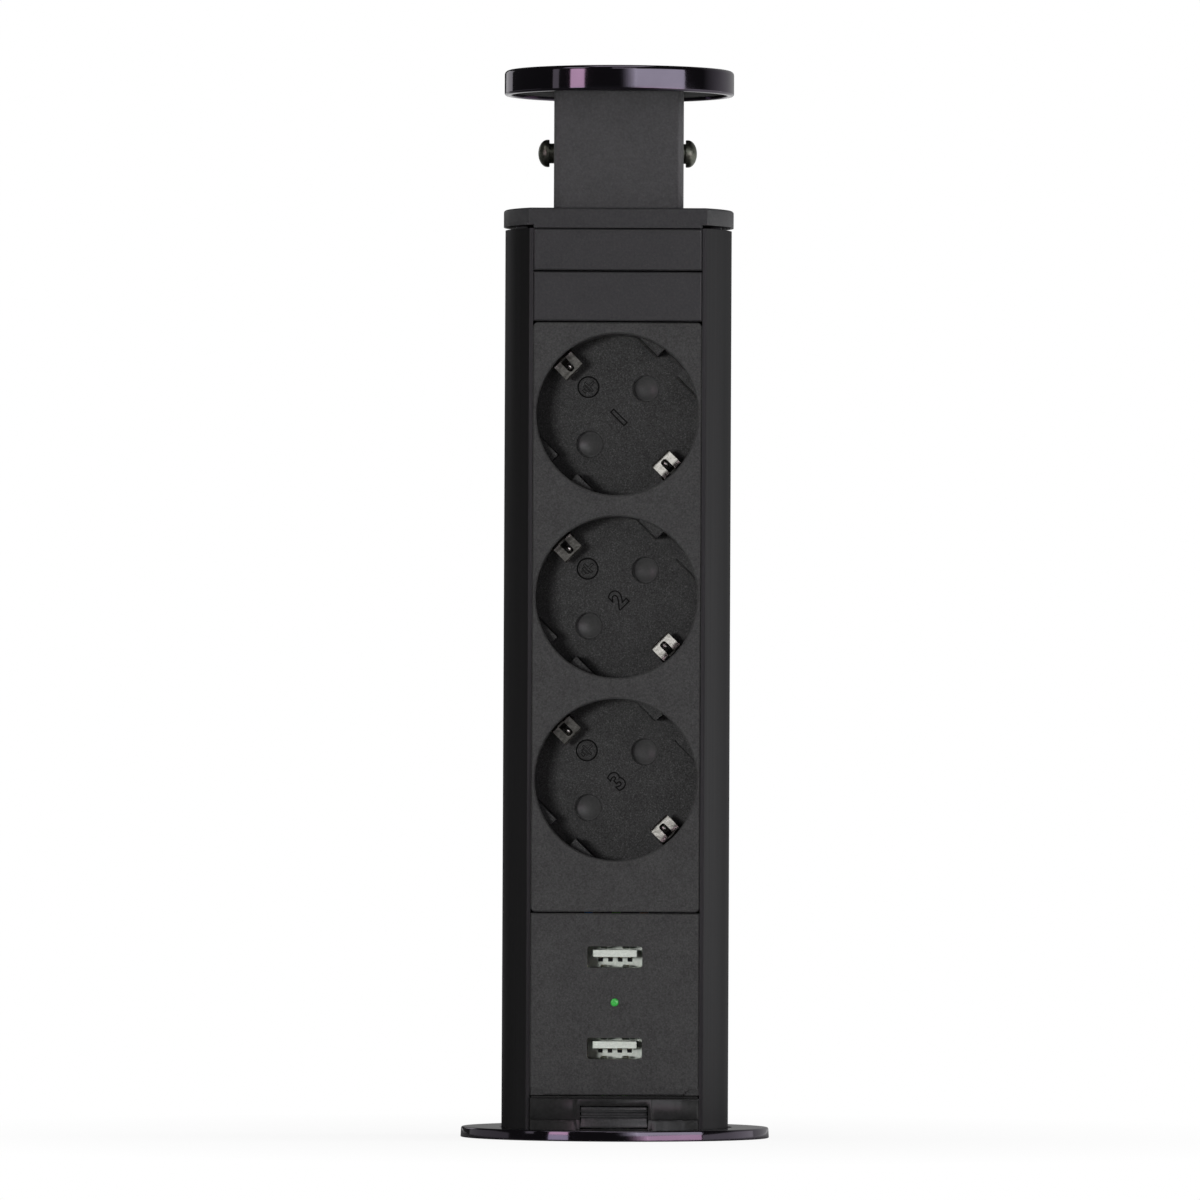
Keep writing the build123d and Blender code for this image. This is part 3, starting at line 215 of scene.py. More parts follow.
# Smooth nylon of the shutters, even and a little shinier, because the pins slide on it
shutter_nylon = moulded_plastic("smooth_nylon", "#3a3a3a", "#454545", 0.42, 0.5 * mm, 0.02 * mm)
# The same nylon in near black: painted shade, in thin strips where narrow recesses would lie in shade
painted_shade_nylon = moulded_plastic(
    "glass_filled_nylon_painted_shade", "#080808", "#101010", 0.7, 0.45 * mm, 0.03 * mm, specular=0.1
)
# Satin ABS of the foot: smoother, so that its edges catch light
satin_abs = moulded_plastic(
    "satin_moulded_abs", "#1a1a1a", "#262626", 0.33, 0.8 * mm, 0.012 * mm, specular=0.35
)
# Charcoal nylon of neck and top plate: even. The plate and blank covers get a darker copy of it
neck_nylon = moulded_plastic(
    "charcoal_filled_nylon", "#343435", "#424243", 0.5, 0.6 * mm, 0.03 * mm, painted_glint=0.4
)
plate_nylon = moulded_plastic("dark_filled_nylon", "#28282a", "#343435", 0.5, 0.6 * mm, 0.03 * mm, painted_glint=0.4)
# ABS of the button: its lighter tone partly paints the sheen of its front, and its flecks are painted glints
button_abs = moulded_plastic("button_moulded_abs", "#262627", "#3a3a3b", 0.4, 0.5 * mm, 0.02 * mm, painted_glint=0.6)
# ABS insert under the lid: plain satin black
lid_abs = moulded_plastic("satin_black_abs", "#0a0a0b", "#121213", 0.7, 0.8 * mm, 0.03 * mm, specular=0.1)
# Glass filled polypropylene of sleeve, washer, nut, gland and caps: dull black with pale fibre flecks
mount_polymer = moulded_plastic("glass_filled_polypropylene", "#121213", "#222224", 0.58, 0.7 * mm, 0.04 * mm)
# Urea moulding of the contact carrier: dull off-white
carrier_urea = moulded_plastic("moulded_urea", "#c9c4b6", "#dad6ca", 0.5, 0.6 * mm, 0.02 * mm)
# Liquid crystal polymer of the charging ports' tongues: chalky white
tongue_polymer = moulded_plastic(
    "white_liquid_crystal_polymer", "#c8cfc6", "#dfe4dc", 0.5, 0.4 * mm, 0.01 * mm
)
# Epoxy body of chip, coil former and capacitor sleeves: near black, dull
component_epoxy = moulded_plastic("moulded_component_epoxy", "#101112", "#1d1f20", 0.5, 0.4 * mm, 0.02 * mm)
# Casing extrusions, and the polished ring and lid
anodised = anodised_aluminium()
mirror = black_chrome()
# Phosphated steel of the cross pin: olive grey with a dull gleam
phosphated_steel = plated_metal("phosphated_steel", "#6c6f64", "#8b8e82", 0.4, 0.5 * mm)
# Nickel plated spring bronze of the earth clips: bright, faintly brushed across
nickel_plate = plated_metal(
    "nickel_plated_bronze", "#96948e", "#dedcd6", 0.22, 0.9 * mm, 0.02 * mm, (2, 1, 1)
)
# Brass strip of the bus bars: warm, rolled along its length
rolled_brass = plated_metal("rolled_brass", "#a8843f", "#c9a65c", 0.3, 0.3 * mm, 0.003 * mm, (1, 1, 12))
# Tinned steel of the ports' shells: pale with a greenish cast
tinned_steel = plated_metal("tinned_steel", "#8f958b", "#b4bab0", 0.3, 0.4 * mm)
# Flash gold on the ports' contacts
flash_gold = plated_metal("flash_gold_plating", "#a8864a", "#d1ad66", 0.24, 0.3 * mm)
# Zinc plated screws: bluish and slightly cloudy
zinc_plate = plated_metal("zinc_plated_steel", "#8d9196", "#b3b7bb", 0.33, 0.4 * mm)
# Patented spring wire: drawn, with fine marks
spring_wire = plated_metal("drawn_spring_steel", "#77797c", "#a3a5a8", 0.28, 0.2 * mm)
# Tinned brass of the earth bar behind the clips, coloured dark grey, far darker than bare tin
tinned_brass = plated_metal("tinned_brass", "#3f3e3a", "#56544e", 0.5, 0.4 * mm)
# PVC over the leads, in the mains colours
brown_pvc = wire_insulation("brown_pvc_insulation", "#5a3a20", "#6b4728")
blue_pvc = wire_insulation("blue_pvc_insulation", "#1d4f93", "#2a62aa")
green_pvc = wire_insulation("green_pvc_insulation", "#3f7d2c", "#5a9638")
led_epoxy = green_lens()
board_mask = solder_mask()

finish_of_slot = {
    "mirror_metal": mirror,
    "casing_metal": anodised,
    "face_plastic": textured_abs,
    "well_plastic": well_nylon,
    "foot_plastic": satin_abs,
    "neck_plastic": neck_nylon,
    "pin_steel": phosphated_steel,
    "insert_plastic": lid_abs,
    "earth_metal": nickel_plate,
    "contact_brass": rolled_brass,
    "usb_steel": tinned_steel,
    "usb_white": tongue_polymer,
    "usb_gold": flash_gold,
    "led_green": led_epoxy,
    "screw_steel": zinc_plate,
    "spring_steel": spring_wire,
    "carrier_plastic": carrier_urea,
    "board_green": board_mask,
    "component_black": component_epoxy,
    "lead_brown": brown_pvc,
    "lead_blue": blue_pvc,
    "lead_green": green_pvc,
    "mount_plastic": mount_polymer,
}
# Nodes that look different from the rest of their slot
finish_of_node = {"earth_bar": tinned_brass, "top_plate": plate_nylon}
finish_of_node |= {"blank_cover_upper": plate_nylon, "blank_cover_lower": plate_nylon}
finish_of_node |= {f"shutter_{number}": shutter_nylon for number in (1, 2, 3)}
slot_of_node = {name: node.data.materials[0].name.split(".")[0] for name, node in nodes.items()}
for name, node in nodes.items():
    for material_slot in node.material_slots:
        material_slot.link = "OBJECT"
        material_slot.material = finish_of_node.get(name, finish_of_slot[slot_of_node[name]])

# Mesh making
square = ((-1, -1), (1, -1), (1, 1), (-1, 1))
off_axis = 0.01 * mm


def new_piece(name, mesh, node, material=None, stands_for=True, sharp=35):
    """Put a mesh in the scene as a piece that rides with a CAD node, and stands for it or is added to it.
    Edges that bend by more than sharp degrees stay crisp."""
    mesh.materials.append(material or finish_of_slot[slot_of_node[node]])
    mesh.shade_smooth()
    mesh.set_sharp_from_angle(angle=radians(sharp))
    piece = bpy.data.objects.new(name, mesh)
    bpy.context.scene.collection.objects.link(piece)
    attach(piece, nodes[node]["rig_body"])
    if stands_for:
        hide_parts(node)
    return piece


def mesh_from(name, points, faces):
    """Mesh with its double points merged and its faces turned outward."""
    mesh = bpy.data.meshes.new(name)
    mesh.from_pydata(points, [], faces)
    shape = bmesh.new()
    shape.from_mesh(mesh)
    bmesh.ops.remove_doubles(shape, verts=shape.verts, dist=0.0005 * mm)
    bmesh.ops.recalc_face_normals(shape, faces=shape.faces)
    shape.to_mesh(mesh)
    shape.free()
    return mesh


def joined(name, meshes):
    """One mesh of several."""
    shape = bmesh.new()
    for mesh in meshes:
        shape.from_mesh(mesh)
        bpy.data.meshes.remove(mesh)
    mesh = bpy.data.meshes.new(name)
    shape.to_mesh(mesh)
    shape.free()
    return mesh


def rounded(corners, steps=5):
    """Closed outline through corners (x, y, radius), each rounded by an arc of that radius."""
    outline = []
    for n, (x, y, radius) in enumerate(corners):
        corner = Vector((x, y))
        if not radius:
            outline.append(corner)
            continue
        before = (Vector(corners[n - 1][:2]) - corner).normalized()
        after = (Vector(corners[(n + 1) % len(corners)][:2]) - corner).normalized()
        half = before.angle(after) / 2
        centre = corner + (before + after).normalized() * radius / sin(half)
        start = corner + before * radius / tan(half) - centre
        end = corner + after * radius / tan(half) - centre
        turn = atan2(start.x * end.y - start.y * end.x, start.dot(end))
        for step in range(steps + 1):
            outline.append(centre + Matrix.Rotation(turn * step / steps, 2) @ start)
    return [tuple(point) for point in outline]


def rounded_box(half_x, half_y, radius, steps):
    """Outline of a rectangle round the origin, with rounded corners."""
    return rounded([(x * half_x, y * half_y, radius) for x, y in square], steps)


def turned(name, rings, place=Matrix(), segments=96, closed=False):
    """Skin over rings round an axis. A ring is (radius, height), and its radius may depend on the angle."""
    points, faces = [], []
    for radius, height in rings:
        for n in range(segments):
            angle = 2 * pi * n / segments
            reach = radius(angle) if callable(radius) else radius
            points.append(place @ Vector((reach * cos(angle), reach * sin(angle), height)))
    for ring in range(len(rings) if closed else len(rings) - 1):
        low, high = ring * segments, (ring + 1) % len(rings) * segments
        for n in range(segments):
            after = (n + 1) % segments
            faces.append((low + n, low + after, high + after, high + n))
    if not closed:
        faces += [tuple(range(segments)), tuple(range(len(points) - segments, len(points)))]
    return mesh_from(name, points, faces)


def prism(name, outline, low, high, place=Matrix(), soften=0.0):
    """Outline drawn out along place's Z axis, with its two rims chamfered by soften."""
    middle = sum((Vector(point) for point in outline), Vector((0, 0))) / len(outline)
    levels = [(low, soften), (low + soften, 0), (high - soften, 0), (high, soften)]
    points, faces, count = [], [], len(outline)
    for height, inset in levels if soften else (levels[0], levels[3]):
        for point in outline:
            arm = Vector(point) - middle
            moved = Vector(point) - arm.normalized() * inset
            points.append(place @ Vector((*moved, height)))
    for level in range(len(points) // count - 1):
        for n in range(count):
            after = (n + 1) % count
            start = level * count
            faces.append((start + n, start + after, start + count + after, start + count + n))
    faces += [tuple(range(count)), tuple(range(len(points) - count, len(points)))]
    return mesh_from(name, points, faces)


def tube_along(name, path, radius, sides=8):
    """Round wire along a path of points."""
    points, faces = [], []
    for n, centre in enumerate(path):
        ahead = (path[min(n + 1, len(path) - 1)] - path[max(n - 1, 0)]).normalized()
        across = ahead.cross(Vector((0, 0, 1))).normalized()
        up = across.cross(ahead)
        for side in range(sides):
            angle = 2 * pi * side / sides
            points.append(centre + radius * (cos(angle) * across + sin(angle) * up))
    for n in range(len(path) - 1):
        near, far = n * sides, (n + 1) * sides
        for side in range(sides):
            after = (side + 1) % sides
            faces.append((near + side, near + after, far + after, far + side))
    faces += [tuple(range(sides)), tuple(range(len(points) - sides, len(points)))]
    return mesh_from(name, points, faces)


def middle_of(node):
    """Middle of a CAD node's box."""
    low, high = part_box(node)
    return (low + high) / 2


def soften_edges(node, width):
    """Round a CAD node's sharp edges, as a mould leaves them."""
    weld = nodes[node].modifiers.new("weld", "WELD")
    weld.merge_threshold = 0.001 * mm
    bevel = nodes[node].modifiers.new("soft_edges", "BEVEL")
    bevel.width = width
    bevel.segments = 2
    bevel.limit_method = "ANGLE"
    bevel.angle_limit = radians(40)
    bevel.use_clamp_overlap = True
    bevel.harden_normals = True


# Trim ring and lid, polished all over with soft rims
mirror_segments = 192
rim_steps = 8
bore_r = 28 * mm
ring_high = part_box("flange_ring")[1]
lip_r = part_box("mount_sleeve")[1].x
lip = 1 * mm
ring_lean = 0.16 * mm
ring_outline = rounded(
    [
        (bore_r, lip, 0.1 * mm),
        (lip_r, lip, 0),
        (lip_r, 0, 0),
        (ring_high.x, 0, 0.2 * mm),
        (ring_high.x - ring_lean, ring_high.z, 0.4 * mm),
        (bore_r, ring_high.z, 0.35 * mm),
    ],
    rim_steps,
)
ring = turned("flange_ring_polished", ring_outline, segments=mirror_segments, closed=True)
new_piece("flange_ring_polished", ring, "flange_ring")

lid_low, lid_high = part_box("lid_cap")
lid_wall = 1.6 * mm
lid_t = 1.8 * mm
lid_outline = rounded(
    [
        (off_axis, lid_high.z, 0),
        (lid_high.x, lid_high.z, 1 * mm),
        (lid_high.x, lid_low.z, 0.6 * mm),
        (lid_high.x - lid_wall, lid_low.z, 0.3 * mm),
        (lid_high.x - lid_wall, lid_high.z - lid_t, 0),
        (off_axis, lid_high.z - lid_t, 0),
    ],
    rim_steps,
)
lid = turned("lid_cap_polished", lid_outline, segments=mirror_segments, closed=True)
new_piece("lid_cap_polished", lid, "lid_cap")

# Cross pin, turned from one bar: domed heads with a short straight rim at each end
pin_low, pin_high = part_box("cross_pin")
pin_middle = middle_of("cross_pin")
pin_head = (pin_high.z - pin_low.z) / 2
pin_half = (pin_high.x - pin_low.x) / 2
head_length = 2.7 * mm
rim_length = 0.55 * mm
rim_chamfer = 0.15 * mm
shank_reach = 2.4 * mm
dome_steps = 9
head_foot = pin_half - head_length
head_rings = [
    (shank_reach, head_foot),
    (pin_head - rim_chamfer, head_foot),
    (pin_head, head_foot + rim_chamfer),
]
for step in range(dome_steps + 1):
    share = sin(pi / 2 * step / dome_steps)
    dome_r = pin_head * sqrt(max(1 - share**2, 0.0004))
    head_rings.append((dome_r, pin_half - (head_length - rim_length) * (1 - share)))
pin_rings = [(radius, -height) for radius, height in reversed(head_rings)] + head_rings
along_x = Matrix.Translation(pin_middle) @ Matrix.Rotation(pi / 2, 4, "Y")
new_piece("cross_pin_turned", turned("cross_pin_turned", pin_rings, along_x, 48), "cross_pin")

# Screws with rounded heads, hexagon sockets and real threads
def hexagon(width):
    """Radius of a hexagon of this width across flats, by angle."""
    return lambda angle: width / 2 / cos((angle + pi / 6) % (pi / 3) - pi / 6)


def thread(radius, pitch, depth, height):
    """Radius of a screw thread at one height, by angle."""
    return lambda angle: radius - depth * abs(2 * ((height / pitch - angle / (2 * pi)) % 1) - 1)


def screw_mesh(name, place, head_r, head_t, shank_r, length, pitch):
    """Screw along place's Z axis: its head's top is at the origin, and its shank goes down."""
    socket = hexagon(head_r * 0.95)
    rings = [(socket(0) * 0.01, -0.62 * head_t), (socket, -0.6 * head_t), (socket, 0)]
    rings += [(head_r * 0.8, 0), (head_r * 0.93, -0.12 * head_t), (head_r, -0.35 * head_t), (head_r, -head_t)]
    rows_per_turn = 6
    rows = int(length / pitch * rows_per_turn)
    thread_depth = 0.12 * pitch + 0.1 * mm
    for row in range(rows + 1):
        drop = -head_t - (length - head_t) * row / rows
        rings.append((thread(shank_r, pitch, thread_depth, drop), drop))
    rings.append((shank_r * 0.5, -length - 0.2 * mm))
    return turned(name, rings, place, 24)


def drive_screws(node, places, head_r, head_t, shank_r, length, pitch=0.8 * mm):
    """Stand a screw at each place for a CAD node that holds them all."""
    sizes = (head_r, head_t, shank_r, length, pitch)
    meshes = [screw_mesh(f"{node}_{n}", place, *sizes) for n, place in enumerate(places)]
    new_piece(f"{node}_driven", joined(node, meshes), node)


def facing(place, direction):
    """Matrix at place whose Z axis points along direction."""
    return Matrix.Translation(place) @ Vector(direction).to_track_quat("Z", "Y").to_matrix().to_4x4()


tower_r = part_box("rear_cover")[1].x
low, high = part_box("casing_screws")
head_r = 2.3 * mm
sunk = 0.1 * mm
places = []
for angle in (25, 62, 118, 155):
    for height in (low.z + head_r, high.z - head_r):
        out = Vector((cos(radians(angle)), sin(radians(angle)), 0))
        places.append(facing(out * (tower_r - sunk) + Vector((0, 0, height)), out))
drive_screws("casing_screws", places, head_r, 1.1 * mm, 1.25 * mm, 5.0 * mm)

down = (0, 0, -1)
half_spacing = 10 * mm
low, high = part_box("neck_screws")
places = [facing((side * half_spacing, 0, low.z), down) for side in (1, -1)]
drive_screws("neck_screws", places, 2.8 * mm, 2 * mm, 1.5 * mm, high.z - low.z)

tip = 0.3 * mm
low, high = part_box("tail_screws")
tail_y = (low.y + high.y) / 2
places = [facing((side * half_spacing, tail_y, low.z), down) for side in (1, -1)]
drive_screws("tail_screws", places, 2.8 * mm, 1.6 * mm, 1.5 * mm, high.z - low.z - tip)

low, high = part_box("board_screws")
head_r = 2 * mm
places = [
    facing((x, high.y, z), (0, 1, 0))
    for x in (low.x + head_r, high.x - head_r)
    for z in (low.z + head_r, high.z - head_r)
]
drive_screws("board_screws", places, head_r, 1.5 * mm, 1 * mm, high.y - low.y - tip, 0.5 * mm)

# Springs as wound wire. The last turn at each end lies flat
def wound(name, radius, wire_r, length, turns, place):
    """Coil along place's Z axis. Its radius is that of the wire's middle line."""
    points = []
    steps_per_turn = 20
    count = turns * steps_per_turn
    for n in range(count + 1):
        share = n / count
        rise = min(max((share * turns - 1) / (turns - 2), 0), 1)
        angle = 2 * pi * turns * share
        height = wire_r + (length - 2 * wire_r) * rise
        points.append(place @ Vector((radius * cos(angle), radius * sin(angle), height)))
    return tube_along(name, points, wire_r)


to_front = (0, -1, 0)
latch_wire_r = 0.3 * mm
low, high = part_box("latch_spring")
length = high.y - low.y
anchor = (0, high.y, middle_of("latch_spring").z)
coil_r = (high.x - low.x) / 2 - latch_wire_r
coil = wound("latch_spring_wound", coil_r, latch_wire_r, length, 7, facing(anchor, to_front))
coil = new_piece("latch_spring_wound", coil, "latch_spring")
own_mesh(coil)

shutter_wire_r = 0.15 * mm
coil_r = 0.6 * mm
for number, joint in ((1, "shutter_top_slide"), (2, "shutter_middle_slide"), (3, "shutter_bottom_slide")):
    node = f"shutter_spring_{number}"
    low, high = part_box(node)
    length = high.z - low.z
    foot = Vector((0, (low.y + high.y) / 2, low.z))
    coil = wound(f"{node}_wound", coil_r, shutter_wire_r, length, 12, Matrix.Translation(foot))
    coil = new_piece(f"{node}_wound", coil, node)
    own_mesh(coil)

# Sleeve under the trim ring with its running thread, and the two keys inside it
sleeve_low, sleeve_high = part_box("mount_sleeve")
sleeve_r = 29.7 * mm
thread_top = -10 * mm
plain_end = 2 * mm
thread_pitch = 3 * mm
thread_depth = 1 * mm
rows_per_turn = 10
fade_rows = 8
rows = int((thread_top - sleeve_low.z - plain_end) / thread_pitch * rows_per_turn)
sleeve_rings = [(bore_r, sleeve_high.z), (sleeve_high.x, sleeve_high.z), (sleeve_high.x, 0), (sleeve_r, 0)]
sleeve_rings.append((sleeve_r, thread_top + 0.5 * mm))
for row in range(rows + 1):
    height = thread_top + (sleeve_low.z + plain_end - thread_top) * row / rows
    fade = min(row, rows - row, fade_rows) / fade_rows
    sleeve_rings.append((thread(sleeve_r, thread_pitch, thread_depth * fade, height), height))
sleeve_rings += [(sleeve_r - 0.4 * mm, sleeve_low.z), (bore_r, sleeve_low.z)]
sleeve = turned("sleeve", sleeve_rings, segments=120, closed=True)
key_top, key_bottom = -35.5 * mm, -49.5 * mm
key_face, key_root, key_half = 25.2 * mm, 28.4 * mm, 2.5 * mm
key_outline = rounded(
    [
        (key_face, -key_half, 0.4 * mm),
        (key_root, -key_half, 0),
        (key_root, key_half, 0),
        (key_face, key_half, 0.4 * mm),
    ]
)
keys = []
for turn in (0, pi):
    keys.append(prism("key", key_outline, key_bottom, key_top, Matrix.Rotation(turn, 4, "Z"), 0.3 * mm))
new_piece("mount_sleeve_threaded", joined("mount_sleeve", [sleeve, *keys]), "mount_sleeve")

# Wells: earth clips, and earth marks and plain numbers in relief, each ringed by a thin strip of painted
# shade
def clip_mesh(name, place):
    """Bent earth strip: it rises at the rim and folds over into two arms round a slot with a nub in it.
    Place's X axis runs out to the rim, its Y axis across the strip, and its Z axis to the front."""
    half_strip, half_slot, thickness = 2.75 * mm, 0.88 * mm, 0.4 * mm
    # Distance from the well's axis and height under its front, in millimetres, and how open the slot is there
    profile = [
        (18.95, -17.0, 0),
        (18.95, -12.0, 1),
        (18.95, -8.0, 1),
        (18.9, -7.3, 1),
        (18.65, -7.0, 1),
        (18.3, -7.06, 1),
        (17.3, -7.62, 1),
        (16.2, -8.26, 1),
        (15.5, -8.68, 0.9),
        (15.2, -8.86, 0.5),
        (14.75, -9.14, 0),
        (14.4, -9.5, 0),
        (14.28, -10.1, 0),
        (14.4, -11.2, 0),
        (15.1, -13.0, 0),
        (15.8, -14.9, 0),
    ]
    points, faces = [], []
    for r, z, share in profile:
        slot = half_slot * max(share, 0.5)
        points += [Vector((r * mm, y, z * mm)) for y in (-half_strip, -slot, slot, half_strip)]
    for row in range(len(profile) - 1):
        slotted = min(profile[row][2], profile[row + 1][2]) > 0
        for lane in (0, 2) if slotted else (0, 1, 2):
            n = row * 4 + lane
            faces.append((n, n + 1, n + 5, n + 4))
    strip = bpy.data.meshes.new(name)
    strip.from_pydata([place @ point for point in points], [], faces)
    shape = bmesh.new()
    shape.from_mesh(strip)
    bmesh.ops.recalc_face_normals(shape, faces=shape.faces)
    bmesh.ops.solidify(shape, geom=shape.faces, thickness=thickness)
    # Solidify leaves its new faces in an order that changes from run to run
    shape.verts.index_update()
    solid_points = [point.co.copy() for point in shape.verts]
    solid_faces = sorted([point.index for point in face.verts] for face in shape.faces)
    shape.free()
    strip.clear_geometry()
    strip.from_pydata(solid_points, [], solid_faces)
    nub_r = 0.6 * mm
    nub_steps = 8
    nub_rings = [(nub_r, -0.9 * mm)]
    for step in range(nub_steps):
        rise = pi / 2 * step / nub_steps
        nub_rings.append((nub_r * cos(rise), nub_r * sin(rise)))
    nub_rings.append((0.02 * mm, nub_r))
    stretch = Matrix.Diagonal((1.4, 1, 1, 1))
    tilt = Matrix.Translation((16.3 * mm, 0, -8.6 * mm)) @ Matrix.Rotation(radians(-32), 4, "Y")
    return joined(name, [strip, turned("nub", nub_rings, place @ tilt @ stretch, 24)])


def flat_number(name, number, height, place, grow):
    """Plain number in relief, grown all round its outline."""
    curve = bpy.data.curves.new(name, "FONT")
    curve.body = str(number)
    curve.size = 6 * mm
    curve.extrude = height
    curve.offset = grow
    curve.align_x, curve.align_y = "CENTER", "CENTER"
    holder = bpy.data.objects.new(name, curve)
    mesh = bpy.data.meshes.new_from_object(holder)
    bpy.data.objects.remove(holder)
    mesh.transform(place)
    return mesh


def bar_outline(width, height, x, y, grow=0.0):
    """Outline of a bar with its middle at x, y. Its sizes are in millimetres."""
    return [((x + dx * (width / 2 + grow)) * mm, (y + dy * (height / 2 + grow)) * mm) for dx, dy in square]


well_depth = 17.5 * mm
floor_y = 0.1 * mm
root, relief, shade_top = -0.1 * mm, 0.35 * mm, 0.03 * mm
mark_inner, mark_outer, mark_shade_r = 1.95 * mm, 2.3 * mm, 2.65 * mm
digit_relief, digit_grow, digit_shade_grow = 0.3 * mm, 0.05 * mm, 0.36 * mm
# Bars of the earth mark: width, height and place, from its stem to its shortest bar
mark_bars = ((0.34, 1.5, 0, 0.95), (2.6, 0.34, 0, 0.1), (1.7, 0.34, 0, -0.62), (0.8, 0.34, 0, -1.34))
earth_strips = []
for number in (1, 2, 3):
    node = f"socket_well_{number}"
    well_place = Matrix.Translation((0, floor_y, middle_of(node).z)) @ Matrix.Rotation(pi / 2, 4, "X")
    for turn in (3, 7):
        clip_place = well_place @ Matrix.Rotation(turn * pi / 4, 4, "Z")
        clip_place = clip_place @ Matrix.Translation((0, 0, well_depth))
        earth_strips.append(clip_mesh(f"earth_clip_{number}_{turn}", clip_place))
    mark_place = well_place @ Matrix.Translation((-7.1 * mm, 7.0 * mm, 0))
    bar_place = mark_place @ Matrix.Rotation(radians(-45), 4, "Z")
    rim = [(mark_inner, root, 0), (mark_inner, relief, 0.12 * mm)]
    rim += [(mark_outer, relief, 0.12 * mm), (mark_outer, root, 0)]
    marks = [turned("rim", rounded(rim, 3), mark_place, 48, closed=True)]
    for bar in mark_bars:
        marks.append(prism("bar", bar_outline(*bar), root, relief, bar_place, 0.06 * mm))
    new_piece(f"earth_mark_{number}", joined("earth_mark", marks), node, stands_for=False)
    # Painted shade: thin near black strips round the ring and the bars, a hair proud of the floor
    shade_ring = [(mark_outer, root), (mark_outer, shade_top), (mark_shade_r, shade_top), (mark_shade_r, root)]
    shade_strips = [turned("shade_strip", shade_ring, mark_place, 48, closed=True)]
    for bar in mark_bars:
        shade_strips.append(prism("shade_strip", bar_outline(*bar, grow=0.13), root, shade_top, bar_place))
    new_piece(f"earth_mark_painted_shade_{number}", joined("shade_strips", shade_strips), node, painted_shade_nylon, stands_for=False)
    number_place = well_place @ Matrix.Translation((0.4 * mm, -0.4 * mm, 0))
    number_place = number_place @ Matrix.Rotation(radians(45), 4, "Z")
    digit = flat_number(f"number_{number}", number, digit_relief, number_place, digit_grow)
    new_piece(f"socket_number_{number}", digit, node, stands_for=False)
    # Painted shade round the number, in the same thin near black strip
    outline = flat_number(f"outline_{number}", number, shade_top, number_place, digit_shade_grow)
    new_piece(f"socket_number_painted_shade_{number}", outline, node, painted_shade_nylon, stands_for=False)
new_piece("earth_clips_formed", joined("earth_clips", earth_strips), "earth_clips", sharp=50)

# Ports: folded shells with sprung tongues pressed out of them, and a rolled lip at the mouth
def port_shell(node):
    """Rectangular tube with four leaves that lean inward, two above and two below."""
    low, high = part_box(node)
    middle = (low + high) / 2
    wall = 0.4 * mm
    half_x, half_z = (high.x - low.x) / 2, (high.z - low.z) / 2
    depth = high.y - low.y
    place = facing((middle.x, high.y, middle.z), to_front)
    outer = rounded_box(half_x, half_z, 0.9 * mm, 4)
    # Height above the shell's back, and how far the skins are rounded off there, the outer one by less
    levels = ((0, 0), (depth - 0.5 * mm, 0), (depth - 0.12 * mm, 0.06 * mm), (depth, 0.2 * mm))
    skins = [(height, flare * 0.6) for height, flare in levels]
    skins += [(height, wall - flare) for height, flare in reversed(levels)]
    points, faces, count = [], [], len(outer)
    for height, inset in skins:
        skin_x, skin_z = half_x - inset, half_z - inset
        points += [place @ Vector((x * skin_x / half_x, z * skin_z / half_z, height)) for x, z in outer]
    for ring in range(len(skins)):
        near, far = ring * count, (ring + 1) % len(skins) * count
        for n in range(count):
            after = (n + 1) % count
            faces.append((near + n, near + after, far + after, far + n))
    shells = [mesh_from(node, points, faces)]
    leaf = [(-0.85 * mm, 0), (0.85 * mm, 0), (0.7 * mm, 4.4 * mm), (-0.7 * mm, 4.4 * mm)]
    leaf_x = 2.6 * mm
    leaf_y = low.y + 1.6 * mm
    half_t = 0.12 * mm
    for side in (-1, 1):
        for end in (-1, 1):
            root = Matrix.Translation((middle.x + side * leaf_x, leaf_y, middle.z + end * (half_z - wall)))
            lean = Matrix.Rotation(-end * radians(7), 4, "X")
            shells.append(prism("leaf", leaf, -half_t, half_t, root @ lean, 0.03 * mm))
    return joined(node, shells)


for number in (1, 2):
    node = f"usb_shell_{number}"
    new_piece(f"{node}_folded", port_shell(node), node)

# Light pipe with its domed end
lens_low, lens_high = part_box("led_lens")
lens_r = (lens_high.x - lens_low.x) / 2
lens_length = lens_high.y - lens_low.y
dome_height = 0.45 * mm
dome_steps = 8
lens_rings = [(lens_r, 0), (lens_r, lens_length - dome_height)]
for step in range(1, dome_steps + 1):
    rise = pi / 2 * step / dome_steps
    lens_rings.append((max(lens_r * cos(rise), 0.02 * mm), lens_length - dome_height * (1 - sin(rise))))
lens_middle = middle_of("led_lens")
lens_place = facing((lens_middle.x, lens_high.y, lens_middle.z), to_front)
new_piece("led_lens_domed", turned("led_lens_domed", lens_rings, lens_place, 32), "led_lens")
